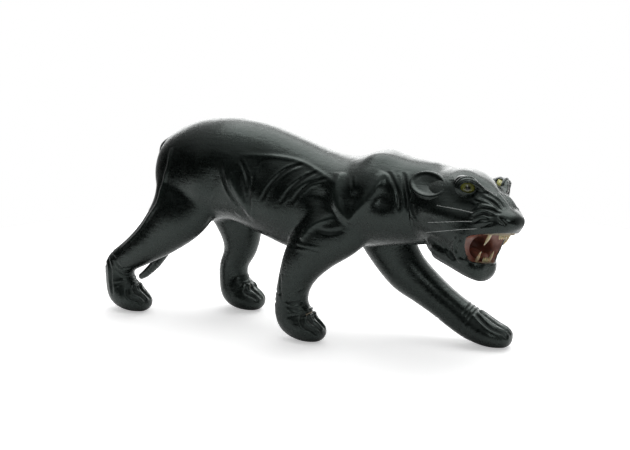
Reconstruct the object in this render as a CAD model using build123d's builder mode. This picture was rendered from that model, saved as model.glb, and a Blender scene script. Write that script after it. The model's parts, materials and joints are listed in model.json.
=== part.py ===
from build123d import *

import os
from math import atan2, cos, degrees, radians, sin, tan
from typing import NamedTuple

# Television lamp in the shape of a striding, snarling panther.
# Hollow papier-mache body shells and cast limbs on steel wires, all wrapped in
# black leather, with glass eyes that a small bulb inside the body lights.
# Millimetres. +X is ahead of the animal, +Y is its left, +Z is up, and the
# floor is at Z = 0. The model is drawn about the middle plane of the body and
# is set over the middle of its own footprint when it is written.

os.makedirs("parts", exist_ok=True)

# ---------------------------------------------------------------- driving sizes
FLOOR = 5.0  # height of the floor in the frame of the ribs
STAND = Location((4.5, 6.84, -FLOOR))  # body plane to the middle of the footprint

HIDE = 2.5  # leather with its glue line
SHELL_WALL = 9.0  # papier-mache wall of the body
SOLE_PAD = 1.5  # felt under each paw
GAP = 0.2  # running clearance round a part that comes out

HEAD_AT = (185.0, -21.0, 172.5)  # point between the eyes
HEAD_TURN = 26.0  # towards the animal's right
HEAD_TILT = 8.0  # right cheek up
HEAD_DROP = 2.0  # nose down

ARMATURE_WIRE = 5.0  # diameter of the wire in each leg
TAIL_WIRE = 3.0
WIRE_BEND = 8.0  # inside every bend, to the centre line

EYE_APART = 46.0  # between the two eye centres
EYE_TURN = 34.0  # each eye's outward turn from straight ahead
EYE_RADIUS = 8.0
EYE_SUNK = 2.5  # centre of the glass ball under the face
EYE_BACK = 2.0  # flat back of the glass behind the ball's centre
IRIS_THICK = 1.0
LID_WIDTH = 3.0
LID_PROUD = 4.0
LID_DEPTH = 6.0
LIGHT_BORE = 5.5  # radius of the light hole behind each eye
LIGHT_REACH = 22.0  # from the face into the hollow of the skull

EAR_LENGTH = 45.0
EAR_WIDTH = 30.0
EAR_PROUD = 4.0
EAR_SUNK = 6.0
EAR_DISH = 1.5
EAR_RIM = 3.0
EAR_AT = -41.0  # behind the eyes
EAR_ROUND = 56.0  # round the head from its crown
EAR_FLARE = 14.0  # rear end outward, degrees

NOSE_LENGTH = 10.0  # nose leather, back from the tip
NOSTRIL = 3.0
NOSTRIL_APART = 19.0
NOSTRIL_HEIGHT = -23.0
LINING = 2.0
MOUTH_CORNER = 7.0  # ahead of the eyes
MOUTH_POCKET = 18.0  # depth of the mouth behind its corners
MOUTH_HALF_WIDTH = 13.0
POCKET_DROP = 5.0  # narrowing of the pocket at its back, above and below
UPPER_LIP = -42.0  # at the corner, from the eyes
LOWER_LIP = -65.0
LIP_RISE = 8.0  # slope of the upper lip, degrees
JAW_RISE = 12.0  # slope of the lower lip, degrees

FANG_LENGTH = 9.0
FANG_RADIUS = 1.5
TOOTH_ROOT = 1.5  # in the gum
TOOTH_TIP = 0.4
FANG_APART = 24.0
LOWER_FANG_APART = 16.0
FANG_LEAN = 30.0  # upper tips back and lower tips ahead, degrees
UPPER_FANG_AT = 26.0  # ahead of the eyes
LOWER_FANG_AT = 12.0
UPPER_FRONT_AT = 31.0
LOWER_FRONT_AT = 15.5
FRONT_PITCH = 2.5
TONGUE_AT = 7.0
TONGUE_LENGTH = 12.0
TONGUE_WIDTH = 10.0
TONGUE_THICK = 3.0
FRONT_TEETH = 4
FRONT_TOOTH_RADIUS = 1.1
FRONT_TOOTH_LENGTH = 2.5

WHISKER = 0.9
WHISKER_LENGTHS = (34.0, 48.0, 54.0)
WHISKER_RISES = (2.0, -11.0, -14.0)
WHISKER_SPREAD = 38.0  # outward from straight back, degrees
WHISKER_ROOTS = ((14.5, 23.5, -20.5), (22.0, 20.5, -26.5), (27.0, 18.5, -31.5))

HATCH_LENGTH = 52.0
HATCH_WIDTH = 38.0
HATCH_ANGLE = 36.0  # round the belly from straight down, to the left
HATCH_DEPTH = 10.0  # seat under the hide at the middle of the hatch
HATCH_LEDGE = 6.0
HATCH_FRAME = 5.0  # thickness of the ledge
HATCH_SCREW = 3.0
HATCH_SCREW_HEAD = 5.5
HATCH_SCREW_SEAT = 8.8  # under side of the heads
HATCH_SCREW_HEAD_THICK = 1.8

INLET_BORE = 6.0
INLET_HOLE = 9.0
INLET_FLANGE = 13.0
INLET_LIP = 2.0

SWITCH_AT = 7.0  # along the hatch from its middle
SWITCH_BODY = 18.0
SWITCH_DEPTH = 12.0
SWITCH_BUSH = 10.0
SWITCH_BUSH_PROUD = 3.0
SWITCH_NUT = 14.0
SWITCH_NUT_THICK = 2.5
SWITCH_NUT_SUNK = 1.5
SWITCH_SHAFT = 4.0
SWITCH_SHAFT_DEPTH = 8.0
SHAFT_CLEARANCE = 0.08
KNOB_DIAMETER = 15.0
KNOB_HEIGHT = 9.0
KNOB_LIFT = 0.6
KNOB_FLUTES = 12
KNOB_FLUTE = 1.6

BRACKET_AT = -13.0  # outer face of the upright, along the hatch
BRACKET_FOOT = 9.0
BRACKET_WIDTH = 14.0
BRACKET_HEIGHT = 46.0
BRACKET_THICK = 1.5
BRACKET_RIVET = 3.0
SOCKET_HEIGHT = 38.0  # axis of the bulb over the seat of the hatch
SOCKET_DIAMETER = 20.0
SOCKET_LENGTH = 28.0
SOCKET_BORE_DEPTH = 17.0
SOCKET_NIPPLE = 9.0
SOCKET_NIPPLE_LENGTH = 7.0
SOCKET_NUT = 14.0
SOCKET_NUT_THICK = 3.0
BULB_CAP = 12.0
BULB_CAP_LENGTH = 18.0
BULB_DIAMETER = 22.0
BULB_LENGTH = 38.0
BULB_NECK = 9.0
LEAD = 2.4
LEAD_BEND = 4.0

# ------------------------------------------------------------------------ ribs
class Rib(NamedTuple):
    """An elliptical section: its middle, its slope nose-down and its half sizes."""

    x: float
    y: float
    z: float
    slope: float
    half_width: float
    half_height: float
    turn: float = 0.0


def torso_rib(x, bottom, top, half_width, turn=0.0):
    """An upright rib of the body between two heights."""
    return Rib(x, 0.0, (bottom + top) / 2, 0.0, half_width, (top - bottom) / 2, turn)


FLANK = torso_rib(-55, 99, 212, 44)
LOIN = torso_rib(-17, 88, 201, 42)
NECK = torso_rib(126, 109, 188, 36, turn=14)
TORSO = [
    torso_rib(-179, 136, 174, 18),
    torso_rib(-171, 116, 190, 29),
    torso_rib(-154, 104, 202, 38),
    torso_rib(-128, 104, 212, 43),
    torso_rib(-92, 110, 216, 45),
    FLANK,
    LOIN,
    torso_rib(18, 92, 190, 42),
    torso_rib(46, 98, 187, 44),
    torso_rib(76, 102, 194, 45),
    torso_rib(104, 106, 190, 40),
    NECK,
]

# Hollows between the muscles, pressed by a ball: along, out, up, radius and depth
HOLLOWS = [
    (24, 41, 152, 30, 5.0),
    (62, 44, 156, 18, 3.0),
    (92, 42, 157, 24, 4.0),
    (-90, 45, 155, 26, 2.5),
]

# Ribs of the head are in its own frame, from the point between the eyes.
HEAD = [
    Rib(-46, 0, -27, 0, 38, 37.5),
    Rib(-22, 0, -26.5, 0, 36, 40),
    Rib(-4, 0, -31, 0, 31.5, 41),
    Rib(8, 0, -35, 0, 28, 41),
    Rib(20, 0, -28, 0, 24, 27),
    Rib(32, 0, -27, 0, 20, 17),
    Rib(41, 0, -23.5, 0, 14.5, 10),
    Rib(47, 0, -22.5, 0, 8, 5),
]
SKULL_HOLLOW = [
    Rib(-46, 0, -20, 0, 24, 20),
    Rib(-22, 0, -14, 0, 23, 14),
    Rib(-2, 0, -7, 0, 19, 6),
]
JAW = [
    Rib(-30, 0, -62, 25, 27, 16),
    Rib(-10, 0, -68, 30, 22, 14),
    Rib(6, 0, -70.5, 15, 19, 13.5),
    Rib(15, 0, -70.5, 0, 15.5, 13),
    Rib(20.5, 0, -70, 0, 8, 8),
]

HIND_RIGHT = [
    Rib(-132, -20, 152, 100, 18, 42),
    Rib(-144, -26, 118, 122, 21, 33),
    Rib(-170, -28, 91, 137, 18, 24),
    Rib(-196, -30, 71, 137, 15, 18),
    Rib(-219, -30, 54, 112, 13.5, 17),
    Rib(-220, -30, 38, 90, 14, 17.5),
    Rib(-214, -30, 24, 60, 16.5, 20),
    Rib(-202, -30, 17, 20, 17.5, 13.5),
    Rib(-190, -30, 14.5, 0, 13, 9.5),
]
HIND_LEFT = [
    Rib(-128, 20, 152, 80, 18, 42),
    Rib(-112, 26, 118, 80, 21, 33),
    Rib(-105, 28, 92, 88, 18, 25),
    Rib(-106, 30, 70, 98, 15, 18.5),
    Rib(-114, 30, 52, 96, 13.5, 16),
    Rib(-114, 30, 38, 88, 14, 17),
    Rib(-108, 30, 24, 60, 16.5, 20),
    Rib(-97, 30, 17, 20, 17.5, 13.5),
    Rib(-85, 30, 14.5, 0, 13, 9.5),
]
FRONT_RIGHT = [
    Rib(58, -20, 152, 112, 18, 36),
    Rib(36, -28, 120, 122, 21, 33),
    Rib(10, -32, 90, 112, 18, 25),
    Rib(-3, -34, 66, 100, 15, 18.5),
    Rib(-8, -34, 46, 90, 14, 17),
    Rib(-6, -34, 33, 84, 15, 20),
    Rib(-1, -34, 24, 55, 16.5, 20),
    Rib(11, -34, 17, 20, 17.5, 13.5),
    Rib(22, -34, 14.5, 0, 13, 9.5),
]
FRONT_LEFT = [
    Rib(56, 20, 138, 60, 18, 34),
    Rib(68, 28, 103, 48, 20, 29),
    Rib(86, 32, 72, 36, 18, 23.5),
    Rib(108, 34, 54, 38, 16, 19),
    Rib(128, 34, 41, 38, 15, 17),
    Rib(144, 34, 31, 36, 15, 17),
    Rib(160, 34, 23, 26, 17, 16),
    Rib(177, 34, 17, 10, 17.5, 13),
    Rib(191, 34, 14.5, 0, 13, 9.5),
]
LEGS = {
    "hind_right": HIND_RIGHT,
    "hind_left": HIND_LEFT,
    "front_right": FRONT_RIGHT,
    "front_left": FRONT_LEFT,
}
TAIL = [
    Rib(-164, -2, 186, 160, 8, 8),
    Rib(-178, 2, 176, 125, 8, 8),
    Rib(-184, 10, 150, 98, 7.5, 7.5),
    Rib(-187, 20, 120, 92, 7, 7),
    Rib(-188, 26, 92, 95, 6.5, 6.5),
    Rib(-196, 27, 67, 115, 6, 6),
    Rib(-211, 26, 45, 132, 5.5, 5.5),
    Rib(-226, 25, 30, 140, 4.5, 4.5),
    Rib(-233, 25, 25, 145, 3.5, 3.5),
]

BODY = Location()
FACE = Location(HEAD_AT, (0, 0, -HEAD_TURN)) * Location((0, 0, 0), (-HEAD_TILT, HEAD_DROP, 0))


def rib_plane(rib, frame=BODY):
    """Plane of a rib, facing along the limb."""
    place = Location((rib.x, rib.y, rib.z), (0, rib.slope, 0))
    return Plane(frame * place * Location((0, 0, 0), (0, 0, -rib.turn)) * Plane.YZ.location)


def through_ribs(planes_and_ribs, inset=0.0, first_end=0.0, last_end=0.0):
    """Closed solid lofted through ribs, drawn in all round and at either end."""
    with BuildPart() as solid:
        last = len(planes_and_ribs) - 1
        for index, (plane, rib) in enumerate(planes_and_ribs):
            shift = first_end if index == 0 else -last_end if index == last else 0.0
            with BuildSketch(plane.offset(shift)):
                Ellipse(rib.half_width - inset, rib.half_height - inset)
        loft(ruled=True)
    return solid.part


def in_frame(ribs, frame=BODY):
    """Each rib with its own plane."""
    return [(rib_plane(rib, frame), rib) for rib in ribs]


def save(part, name):
    """Set a finished piece over its footprint and write it."""
    piece = part.moved(STAND)
    piece.label = name
    export_step(piece, f"parts/{name}.step")


def above(height, reach=600.0):
    """Block of everything over a height."""
    with BuildPart(Plane.XY.offset(height)) as block:
        Box(reach, reach, reach, align=(Align.CENTER, Align.CENTER, Align.MIN))
    return block.part


def side(sign, reach=600.0):
    """Block of everything on one side of the body plane."""
    near = Align.MIN if sign > 0 else Align.MAX
    with BuildPart() as block:
        Box(reach, reach, reach, align=(Align.CENTER, near, Align.CENTER))
    return block.part


SIDES = {"right": -1, "left": 1}

# ------------------------------------------------------------- shared envelopes
neck_planes = in_frame([NECK]) + in_frame(HEAD, FACE)
torso_planes = in_frame(TORSO)
torso_lofts = {inset: through_ribs(torso_planes, inset, first_end=inset) for inset in (0.0, HIDE)}


def pressed(form, inset):
    """Form with the hollows of the body's muscles pressed into both sides."""
    with BuildPart() as body:
        add(form)
        for x, y, z, radius, depth in HOLLOWS:
            out = y + radius - depth
            with Locations((x, out, z), (x, -out, z)):
                Sphere(radius + inset, mode=Mode.SUBTRACT)
    return body.part


torso_outer = pressed(torso_lofts[0.0], 0.0)
torso_form = pressed(torso_lofts[HIDE], HIDE)
torso_hollow = through_ribs(torso_planes, HIDE + SHELL_WALL, first_end=HIDE + SHELL_WALL)
head_outer = through_ribs(neck_planes)
head_form = through_ribs(neck_planes, HIDE, last_end=HIDE)
jaw_planes = in_frame(JAW, FACE)
jaw_outer = through_ribs(jaw_planes)
jaw_form = through_ribs(jaw_planes, HIDE, last_end=HIDE)


def leg_wire_route(ribs):
    """Centre line of the wire in a leg, from inside the body to the paw."""
    middles = [(rib.x, rib.y, rib.z) for rib in ribs[:-1]]
    top, below = Vector(*middles[0]), Vector(*middles[1])
    return [(top + below) / 2] + [Vector(*middle) for middle in middles[1:]]


def bent_wire(route, diameter, bend):
    """Round wire along a route of straight runs with rounded corners."""
    with BuildPart() as wire:
        with BuildLine() as path:
            FilletPolyline(*route, radius=bend)
        with BuildSketch(path.line ^ 0):
            Circle(diameter / 2)
        sweep(path=path.line)
    return wire.part


leg_planes = {name: in_frame(ribs) for name, ribs in LEGS.items()}
leg_outers = {name: pressed(through_ribs(planes), 0.0) for name, planes in leg_planes.items()}
leg_forms = {
    name: pressed(through_ribs(planes, HIDE, last_end=HIDE), HIDE) for name, planes in leg_planes.items()
}
leg_wires = {
    name: bent_wire(leg_wire_route(ribs), ARMATURE_WIRE, WIRE_BEND) for name, ribs in LEGS.items()
}
tail_outer = through_ribs(in_frame(TAIL))
tail_wire_form = bent_wire([Vector(rib.x, rib.y, rib.z) for rib in TAIL[:-1]], TAIL_WIRE, WIRE_BEND)

# ------------------------------------------------------------------ hatch frame
# Seen from outside, with its own Z square to the belly and its X along the body.
def belly_place(rib, angle):
    """Place on the belly at a rib, round from straight down to the left."""
    around = radians(angle)
    y = rib.half_width * sin(around)
    z = rib.z - rib.half_height * cos(around)
    lean = degrees(atan2(sin(around) / rib.half_width, cos(around) / rib.half_height))
    return Location((rib.x, y, z), (180 + lean, 0, 0))


HATCH = belly_place(LOIN, HATCH_ANGLE)
INLET = belly_place(FLANK, HATCH_ANGLE)


def hatch_plane(height=0.0):
    """Plane square to the hatch, a height outside the hide."""
    return Plane(HATCH).offset(height)


def oval_plug(length, width, bottom, top):
    """Oval column through the hatch between two heights."""
    with BuildPart() as plug:
        with BuildSketch(hatch_plane(bottom)):
            Ellipse(length / 2, width / 2)
        extrude(amount=top - bottom)
    return plug.part


OUTSIDE = 12.0  # clear of the hide
INSIDE = -30.0  # well inside the body
seat_cut = oval_plug(HATCH_LENGTH, HATCH_WIDTH, -HATCH_DEPTH, OUTSIDE)
way_cut = oval_plug(
    HATCH_LENGTH - 2 * HATCH_LEDGE, HATCH_WIDTH - 2 * HATCH_LEDGE, INSIDE, OUTSIDE
)
frame_form = oval_plug(
    HATCH_LENGTH + HATCH_LEDGE, HATCH_WIDTH + HATCH_LEDGE, -HATCH_DEPTH - HATCH_FRAME, OUTSIDE
)
screw_x = (HATCH_LENGTH - HATCH_LEDGE) / 2
HATCH_SCREWS = [(-screw_x, 0), (screw_x, 0)]
screw_top = -HATCH_SCREW_SEAT + HATCH_SCREW_HEAD_THICK


def column(place, diameter, bottom, top, spots=((0, 0),)):
    """Round columns square to a place, between two heights outside it."""
    with BuildPart() as columns:
        with BuildSketch(Plane(place).offset(bottom)):
            with Locations(*spots):
                Circle(diameter / 2)
        extrude(amount=top - bottom)
    return columns.part


inlet_hole = column(INLET, INLET_HOLE, INSIDE, OUTSIDE)
inlet_well = column(INLET, INLET_FLANGE + 2 * GAP, 0, OUTSIDE)


# ------------------------------------------------------------------------ torso
with BuildPart() as hatch_frame:
    add(torso_form)
    add(frame_form, mode=Mode.INTERSECT)
    add(side(1), mode=Mode.INTERSECT)

for name, sign in SIDES.items():
    with BuildPart() as torso_shell:
        add(torso_form)
        add(torso_hollow, mode=Mode.SUBTRACT)
        add(side(sign), mode=Mode.INTERSECT)
        for wire in leg_wires.values():
            add(wire, mode=Mode.SUBTRACT)
        add(tail_wire_form, mode=Mode.SUBTRACT)
        if sign > 0:
            add(hatch_frame.part)
            add(seat_cut, mode=Mode.SUBTRACT)
            add(way_cut, mode=Mode.SUBTRACT)
            add(inlet_hole, mode=Mode.SUBTRACT)
            add(column(HATCH, HATCH_SCREW, INSIDE, OUTSIDE, HATCH_SCREWS), mode=Mode.SUBTRACT)
    save(torso_shell.part, f"torso_shell_{name}")

    with BuildPart() as torso_hide:
        add(torso_outer)
        add(torso_form, mode=Mode.SUBTRACT)
        add(side(sign), mode=Mode.INTERSECT)
        for wire in leg_wires.values():
            add(wire, mode=Mode.SUBTRACT)
        add(tail_wire_form, mode=Mode.SUBTRACT)
        if sign > 0:
            add(seat_cut, mode=Mode.SUBTRACT)
            add(inlet_hole, mode=Mode.SUBTRACT)
            add(inlet_well, mode=Mode.SUBTRACT)
    save(torso_hide.part, f"torso_hide_{name}")

# ------------------------------------------------------------------------- legs
for name in LEGS:
    with BuildPart() as leg_wire:
        add(leg_wires[name])
    save(leg_wire.part, f"leg_wire_{name}")

    with BuildPart() as leg_solid:
        add(leg_forms[name])
        add(above(FLOOR + SOLE_PAD + HIDE), mode=Mode.INTERSECT)

    with BuildPart() as leg_core:
        add(leg_solid.part)
        add(torso_outer, mode=Mode.SUBTRACT)
        add(leg_wires[name], mode=Mode.SUBTRACT)
    save(leg_core.part, f"leg_core_{name}")

    with BuildPart() as leg_hide:
        add(leg_outers[name])
        add(above(FLOOR + SOLE_PAD), mode=Mode.INTERSECT)
        add(torso_outer, mode=Mode.SUBTRACT)
        add(leg_solid.part, mode=Mode.SUBTRACT)
    save(leg_hide.part, f"leg_hide_{name}")

    with BuildPart() as sole_pad:
        add(leg_outers[name])
        add(above(FLOOR), mode=Mode.INTERSECT)
        add(above(FLOOR + SOLE_PAD), mode=Mode.SUBTRACT)
    save(sole_pad.part, f"sole_pad_{name}")

# ------------------------------------------------------------------------- tail
with BuildPart() as tail_wire:
    add(tail_wire_form)
save(tail_wire.part, "tail_wire")

with BuildPart() as tail_hide:
    add(tail_outer)
    add(torso_outer, mode=Mode.SUBTRACT)
    add(tail_wire_form, mode=Mode.SUBTRACT)
save(tail_hide.part, "tail_hide")

# ------------------------------------------------------------------------ mouth
FAR = 60.0  # beyond the nose and the cheeks
PROFILE = Plane(FACE * Plane.XZ.location)  # side view of the head


def profile_prism(points, half_width):
    """Prism across the head from points ahead of and above the eyes."""
    with BuildPart() as prism:
        with BuildSketch(PROFILE):
            with BuildLine():
                Polyline(*points, close=True)
            make_face()
        extrude(amount=half_width, both=True)
    return prism.part


def upper_lip(x, lift=0.0):
    """Point on the upper lip line."""
    return (x, UPPER_LIP + (x - MOUTH_CORNER) * tan(radians(LIP_RISE)) + lift)


def lower_lip(x, lift=0.0):
    """Point on the lower lip line."""
    return (x, LOWER_LIP + (x - MOUTH_CORNER) * tan(radians(JAW_RISE)) + lift)


def mouth_points(wall):
    """Side view of the open mouth, grown by a wall."""
    corner = MOUTH_CORNER - wall
    return [upper_lip(corner, wall), upper_lip(FAR, wall), lower_lip(FAR, -wall), lower_lip(corner, -wall)]


def pocket_points(wall):
    """Side view of the pocket behind the mouth's corners, grown by a wall."""
    back = MOUTH_CORNER - MOUTH_POCKET - wall
    return [
        (back, UPPER_LIP - POCKET_DROP + wall),
        (MOUTH_CORNER, UPPER_LIP + wall),
        (MOUTH_CORNER, LOWER_LIP - wall),
        (back, LOWER_LIP + POCKET_DROP - wall),
    ]


mouth_open = profile_prism(mouth_points(0.0), FAR)
mouth_lined = profile_prism(mouth_points(LINING), FAR)
pocket_open = profile_prism(pocket_points(0.0), MOUTH_HALF_WIDTH)
pocket_lined = profile_prism(pocket_points(LINING), MOUTH_HALF_WIDTH + LINING)
chin = LOWER_LIP - FAR
below_lips = profile_prism(
    [upper_lip(MOUTH_CORNER), upper_lip(FAR), (FAR, chin), (MOUTH_CORNER, chin)], FAR
)
with BuildPart() as head_envelope:
    add(head_outer)
    add(below_lips, mode=Mode.SUBTRACT)

# ------------------------------------------------------------------------- eyes
eye_places = {
    name: FACE
    * Location((0, sign * EYE_APART / 2, 0), (0, 0, sign * EYE_TURN))
    * Plane.YZ.location
    for name, sign in SIDES.items()
}


def eye_column(name, radius, bottom, top):
    """Round column along the line of sight of an eye."""
    with BuildPart(Plane(eye_places[name]).offset(bottom)) as column:
        Cylinder(radius, top - bottom, align=(Align.CENTER, Align.CENTER, Align.MIN))
    return column.part


LID_RADIUS = EYE_RADIUS + GAP + LID_WIDTH
IRIS_BOTTOM = -EYE_SUNK - EYE_BACK - IRIS_THICK
for name in SIDES:
    with BuildPart() as glass_eye:
        with Locations(Plane(eye_places[name]).offset(-EYE_SUNK)):
            Sphere(EYE_RADIUS)
        add(eye_column(name, 2 * EYE_RADIUS, -EYE_SUNK - EYE_BACK, FAR), mode=Mode.INTERSECT)
    save(glass_eye.part, f"glass_eye_{name}")

    with BuildPart() as iris_disc:
        add(eye_column(name, EYE_RADIUS, IRIS_BOTTOM, -EYE_SUNK - EYE_BACK))
    save(iris_disc.part, f"iris_disc_{name}")

    with BuildPart() as eyelid:
        add(eye_column(name, LID_RADIUS, IRIS_BOTTOM - LINING, LID_PROUD))
        add(eye_column(name, EYE_RADIUS + GAP, IRIS_BOTTOM, LID_PROUD), mode=Mode.SUBTRACT)
        add(eye_column(name, LIGHT_BORE, IRIS_BOTTOM - LINING, IRIS_BOTTOM), mode=Mode.SUBTRACT)
    save(eyelid.part, f"eyelid_{name}")

# ------------------------------------------------------------------------- head
neck_hollow_rib = NECK._replace(
    half_width=NECK.half_width - HIDE - SHELL_WALL,
    half_height=NECK.half_height - HIDE - SHELL_WALL,
)
skull_hollow = through_ribs(in_frame([neck_hollow_rib]) + in_frame(SKULL_HOLLOW, FACE))
nose_start = HEAD[-1].x - NOSE_LENGTH
with BuildPart(rib_plane(Rib(nose_start, 0, 0, 0, 0, 0), FACE)) as nose_block:
    Box(FAR, FAR, FAR, align=(Align.CENTER, Align.CENTER, Align.MIN))

with BuildPart() as nostrils:
    with BuildSketch(rib_plane(Rib(FAR, 0, 0, 0, 0, 0), FACE)):
        with Locations((NOSTRIL_APART / 2, NOSTRIL_HEIGHT), (-NOSTRIL_APART / 2, NOSTRIL_HEIGHT)):
            Ellipse(NOSTRIL, NOSTRIL * 0.8)
    extrude(amount=-(FAR - nose_start - HIDE))

with BuildPart() as skull:
    add(head_form)
    add(skull_hollow, mode=Mode.SUBTRACT)
    add(below_lips, mode=Mode.SUBTRACT)
    add(mouth_lined, mode=Mode.SUBTRACT)
    add(pocket_lined, mode=Mode.SUBTRACT)
    add(nostrils.part, mode=Mode.SUBTRACT)
    for name in SIDES:
        add(eye_column(name, LID_RADIUS, IRIS_BOTTOM - LINING, FAR), mode=Mode.SUBTRACT)
        add(eye_column(name, LIGHT_BORE, -LIGHT_REACH, 0), mode=Mode.SUBTRACT)
save(skull.part, "skull")

with BuildPart() as face_hide:
    add(head_envelope.part)
    add(head_form, mode=Mode.SUBTRACT)
    add(pocket_lined, mode=Mode.SUBTRACT)
    for name in SIDES:
        add(eye_column(name, LID_RADIUS, IRIS_BOTTOM - LINING, FAR), mode=Mode.SUBTRACT)

with BuildPart() as head_hide:
    add(face_hide.part)
    add(nose_block.part, mode=Mode.SUBTRACT)
save(head_hide.part, "head_hide")

with BuildPart() as nose_leather:
    add(face_hide.part)
    add(nose_block.part, mode=Mode.INTERSECT)
    add(nostrils.part, mode=Mode.SUBTRACT)
save(nose_leather.part, "nose_leather")

# -------------------------------------------------------------------------- jaw
with BuildPart() as jaw_core:
    add(jaw_form)
    add(head_envelope.part, mode=Mode.SUBTRACT)
    add(torso_outer, mode=Mode.SUBTRACT)
    add(mouth_lined, mode=Mode.SUBTRACT)
    add(pocket_lined, mode=Mode.SUBTRACT)
save(jaw_core.part, "jaw_core")

with BuildPart() as jaw_hide:
    add(jaw_outer)
    add(jaw_form, mode=Mode.SUBTRACT)
    add(head_envelope.part, mode=Mode.SUBTRACT)
    add(torso_outer, mode=Mode.SUBTRACT)
    add(mouth_open, mode=Mode.SUBTRACT)
    add(pocket_lined, mode=Mode.SUBTRACT)
save(jaw_hide.part, "jaw_hide")

# ----------------------------------------------------------------- mouth inside
def lip_place(x, y, upper):
    """Place on a lip line, with its Z pointing into the open mouth."""
    along, height = upper_lip(x) if upper else lower_lip(x)
    turn = 180 - LIP_RISE if upper else -JAW_RISE
    return FACE * Location((along, y, height), (0, turn, 0))


def teeth(spots, upper, radius, length, lean):
    """Pointed teeth rooted in the gum under a lip line."""
    with BuildPart() as row:
        for x, y in spots:
            with Locations(lip_place(x, y, upper) * Location((0, 0, -TOOTH_ROOT), (0, lean, 0))):
                Cone(
                    radius,
                    TOOTH_TIP,
                    length + TOOTH_ROOT,
                    align=(Align.CENTER, Align.CENTER, Align.MIN),
                )
    return row.part


def front_row(x, pitch):
    """Places of the small front teeth at a distance ahead of the eyes."""
    first = -(FRONT_TEETH - 1) / 2
    return [(x, (first + index) * pitch) for index in range(FRONT_TEETH)]


UPPER_FANGS = [(UPPER_FANG_AT, FANG_APART / 2), (UPPER_FANG_AT, -FANG_APART / 2)]
LOWER_FANGS = [(LOWER_FANG_AT, LOWER_FANG_APART / 2), (LOWER_FANG_AT, -LOWER_FANG_APART / 2)]
tooth_sets = {
    "upper_fangs": teeth(UPPER_FANGS, True, FANG_RADIUS, FANG_LENGTH, FANG_LEAN),
    "lower_fangs": teeth(LOWER_FANGS, False, FANG_RADIUS, FANG_LENGTH, FANG_LEAN),
    "upper_front_teeth": teeth(
        front_row(UPPER_FRONT_AT, FRONT_PITCH), True, FRONT_TOOTH_RADIUS, FRONT_TOOTH_LENGTH, 0
    ),
    "lower_front_teeth": teeth(
        front_row(LOWER_FRONT_AT, FRONT_PITCH), False, FRONT_TOOTH_RADIUS, FRONT_TOOTH_LENGTH, 0
    ),
}
for name, row in tooth_sets.items():
    with BuildPart() as tooth_set:
        add(row)
        add(mouth_lined, mode=Mode.INTERSECT)
    save(tooth_set.part, name)

with BuildPart() as tongue:
    with BuildSketch(Plane(lip_place(TONGUE_AT, 0, upper=False))):
        Ellipse(TONGUE_LENGTH / 2, TONGUE_WIDTH / 2)
    extrude(amount=TONGUE_THICK)
    fillet(tongue.faces().sort_by(Axis.Z)[-1].edges(), TONGUE_THICK / 3)
    add(jaw_core.part, mode=Mode.SUBTRACT)
    add(skull.part, mode=Mode.SUBTRACT)
save(tongue.part, "tongue")

with BuildPart() as lining:
    add(mouth_lined)
    add(pocket_lined)
    add(mouth_open, mode=Mode.SUBTRACT)
    add(pocket_open, mode=Mode.SUBTRACT)
    for row in tooth_sets.values():
        add(row, mode=Mode.SUBTRACT)
    add(tongue.part, mode=Mode.SUBTRACT)

with BuildPart() as palate:
    add(lining.part)
    add(head_form, mode=Mode.INTERSECT)
    add(below_lips, mode=Mode.SUBTRACT)
save(palate.part, "palate")

with BuildPart() as mouth_floor:
    add(lining.part)
    add(jaw_form, mode=Mode.INTERSECT)
    add(head_envelope.part, mode=Mode.SUBTRACT)
save(mouth_floor.part, "mouth_floor")

# ------------------------------------------------------------------------- ears
ear_rib = HEAD[0]
ear_round = radians(EAR_ROUND)
ear_y = ear_rib.half_width * sin(ear_round)
ear_z = ear_rib.z + ear_rib.half_height * cos(ear_round)
ear_lean = degrees(atan2(sin(ear_round) / ear_rib.half_width, cos(ear_round) / ear_rib.half_height))
for name, sign in SIDES.items():
    ear_place = FACE * Location((EAR_AT, sign * ear_y, ear_z), (-sign * ear_lean, 0, 0))
    ear_place = ear_place * Location((0, 0, 0), (0, EAR_FLARE, 0))
    with BuildPart() as ear:
        with BuildSketch(Plane(ear_place).offset(-EAR_SUNK)):
            Ellipse(EAR_LENGTH / 2, EAR_WIDTH / 2)
        extrude(amount=EAR_SUNK + EAR_PROUD)
        with BuildSketch(Plane(ear_place).offset(EAR_PROUD)):
            Ellipse(EAR_LENGTH / 2 - EAR_RIM, EAR_WIDTH / 2 - EAR_RIM)
        extrude(amount=-EAR_DISH, mode=Mode.SUBTRACT)
        add(head_outer, mode=Mode.SUBTRACT)
        add(torso_outer, mode=Mode.SUBTRACT)
    save(ear.part, f"ear_{name}")

# --------------------------------------------------------------------- whiskers
for name, sign in SIDES.items():
    with BuildPart() as whiskers:
        for (x, y, z), length, rise in zip(WHISKER_ROOTS, WHISKER_LENGTHS, WHISKER_RISES):
            root = FACE * Location((x, sign * y, z), (0, 0, sign * (180 - WHISKER_SPREAD)))
            with Locations(root * Location((0, 0, 0), (0, 90 - rise, 0))):
                Cylinder(WHISKER / 2, length, align=(Align.CENTER, Align.CENTER, Align.MIN))
        add(head_outer, mode=Mode.SUBTRACT)
        add(jaw_outer, mode=Mode.SUBTRACT)
        add(torso_outer, mode=Mode.SUBTRACT)
    save(whiskers.part, f"whiskers_{name}")

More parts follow.
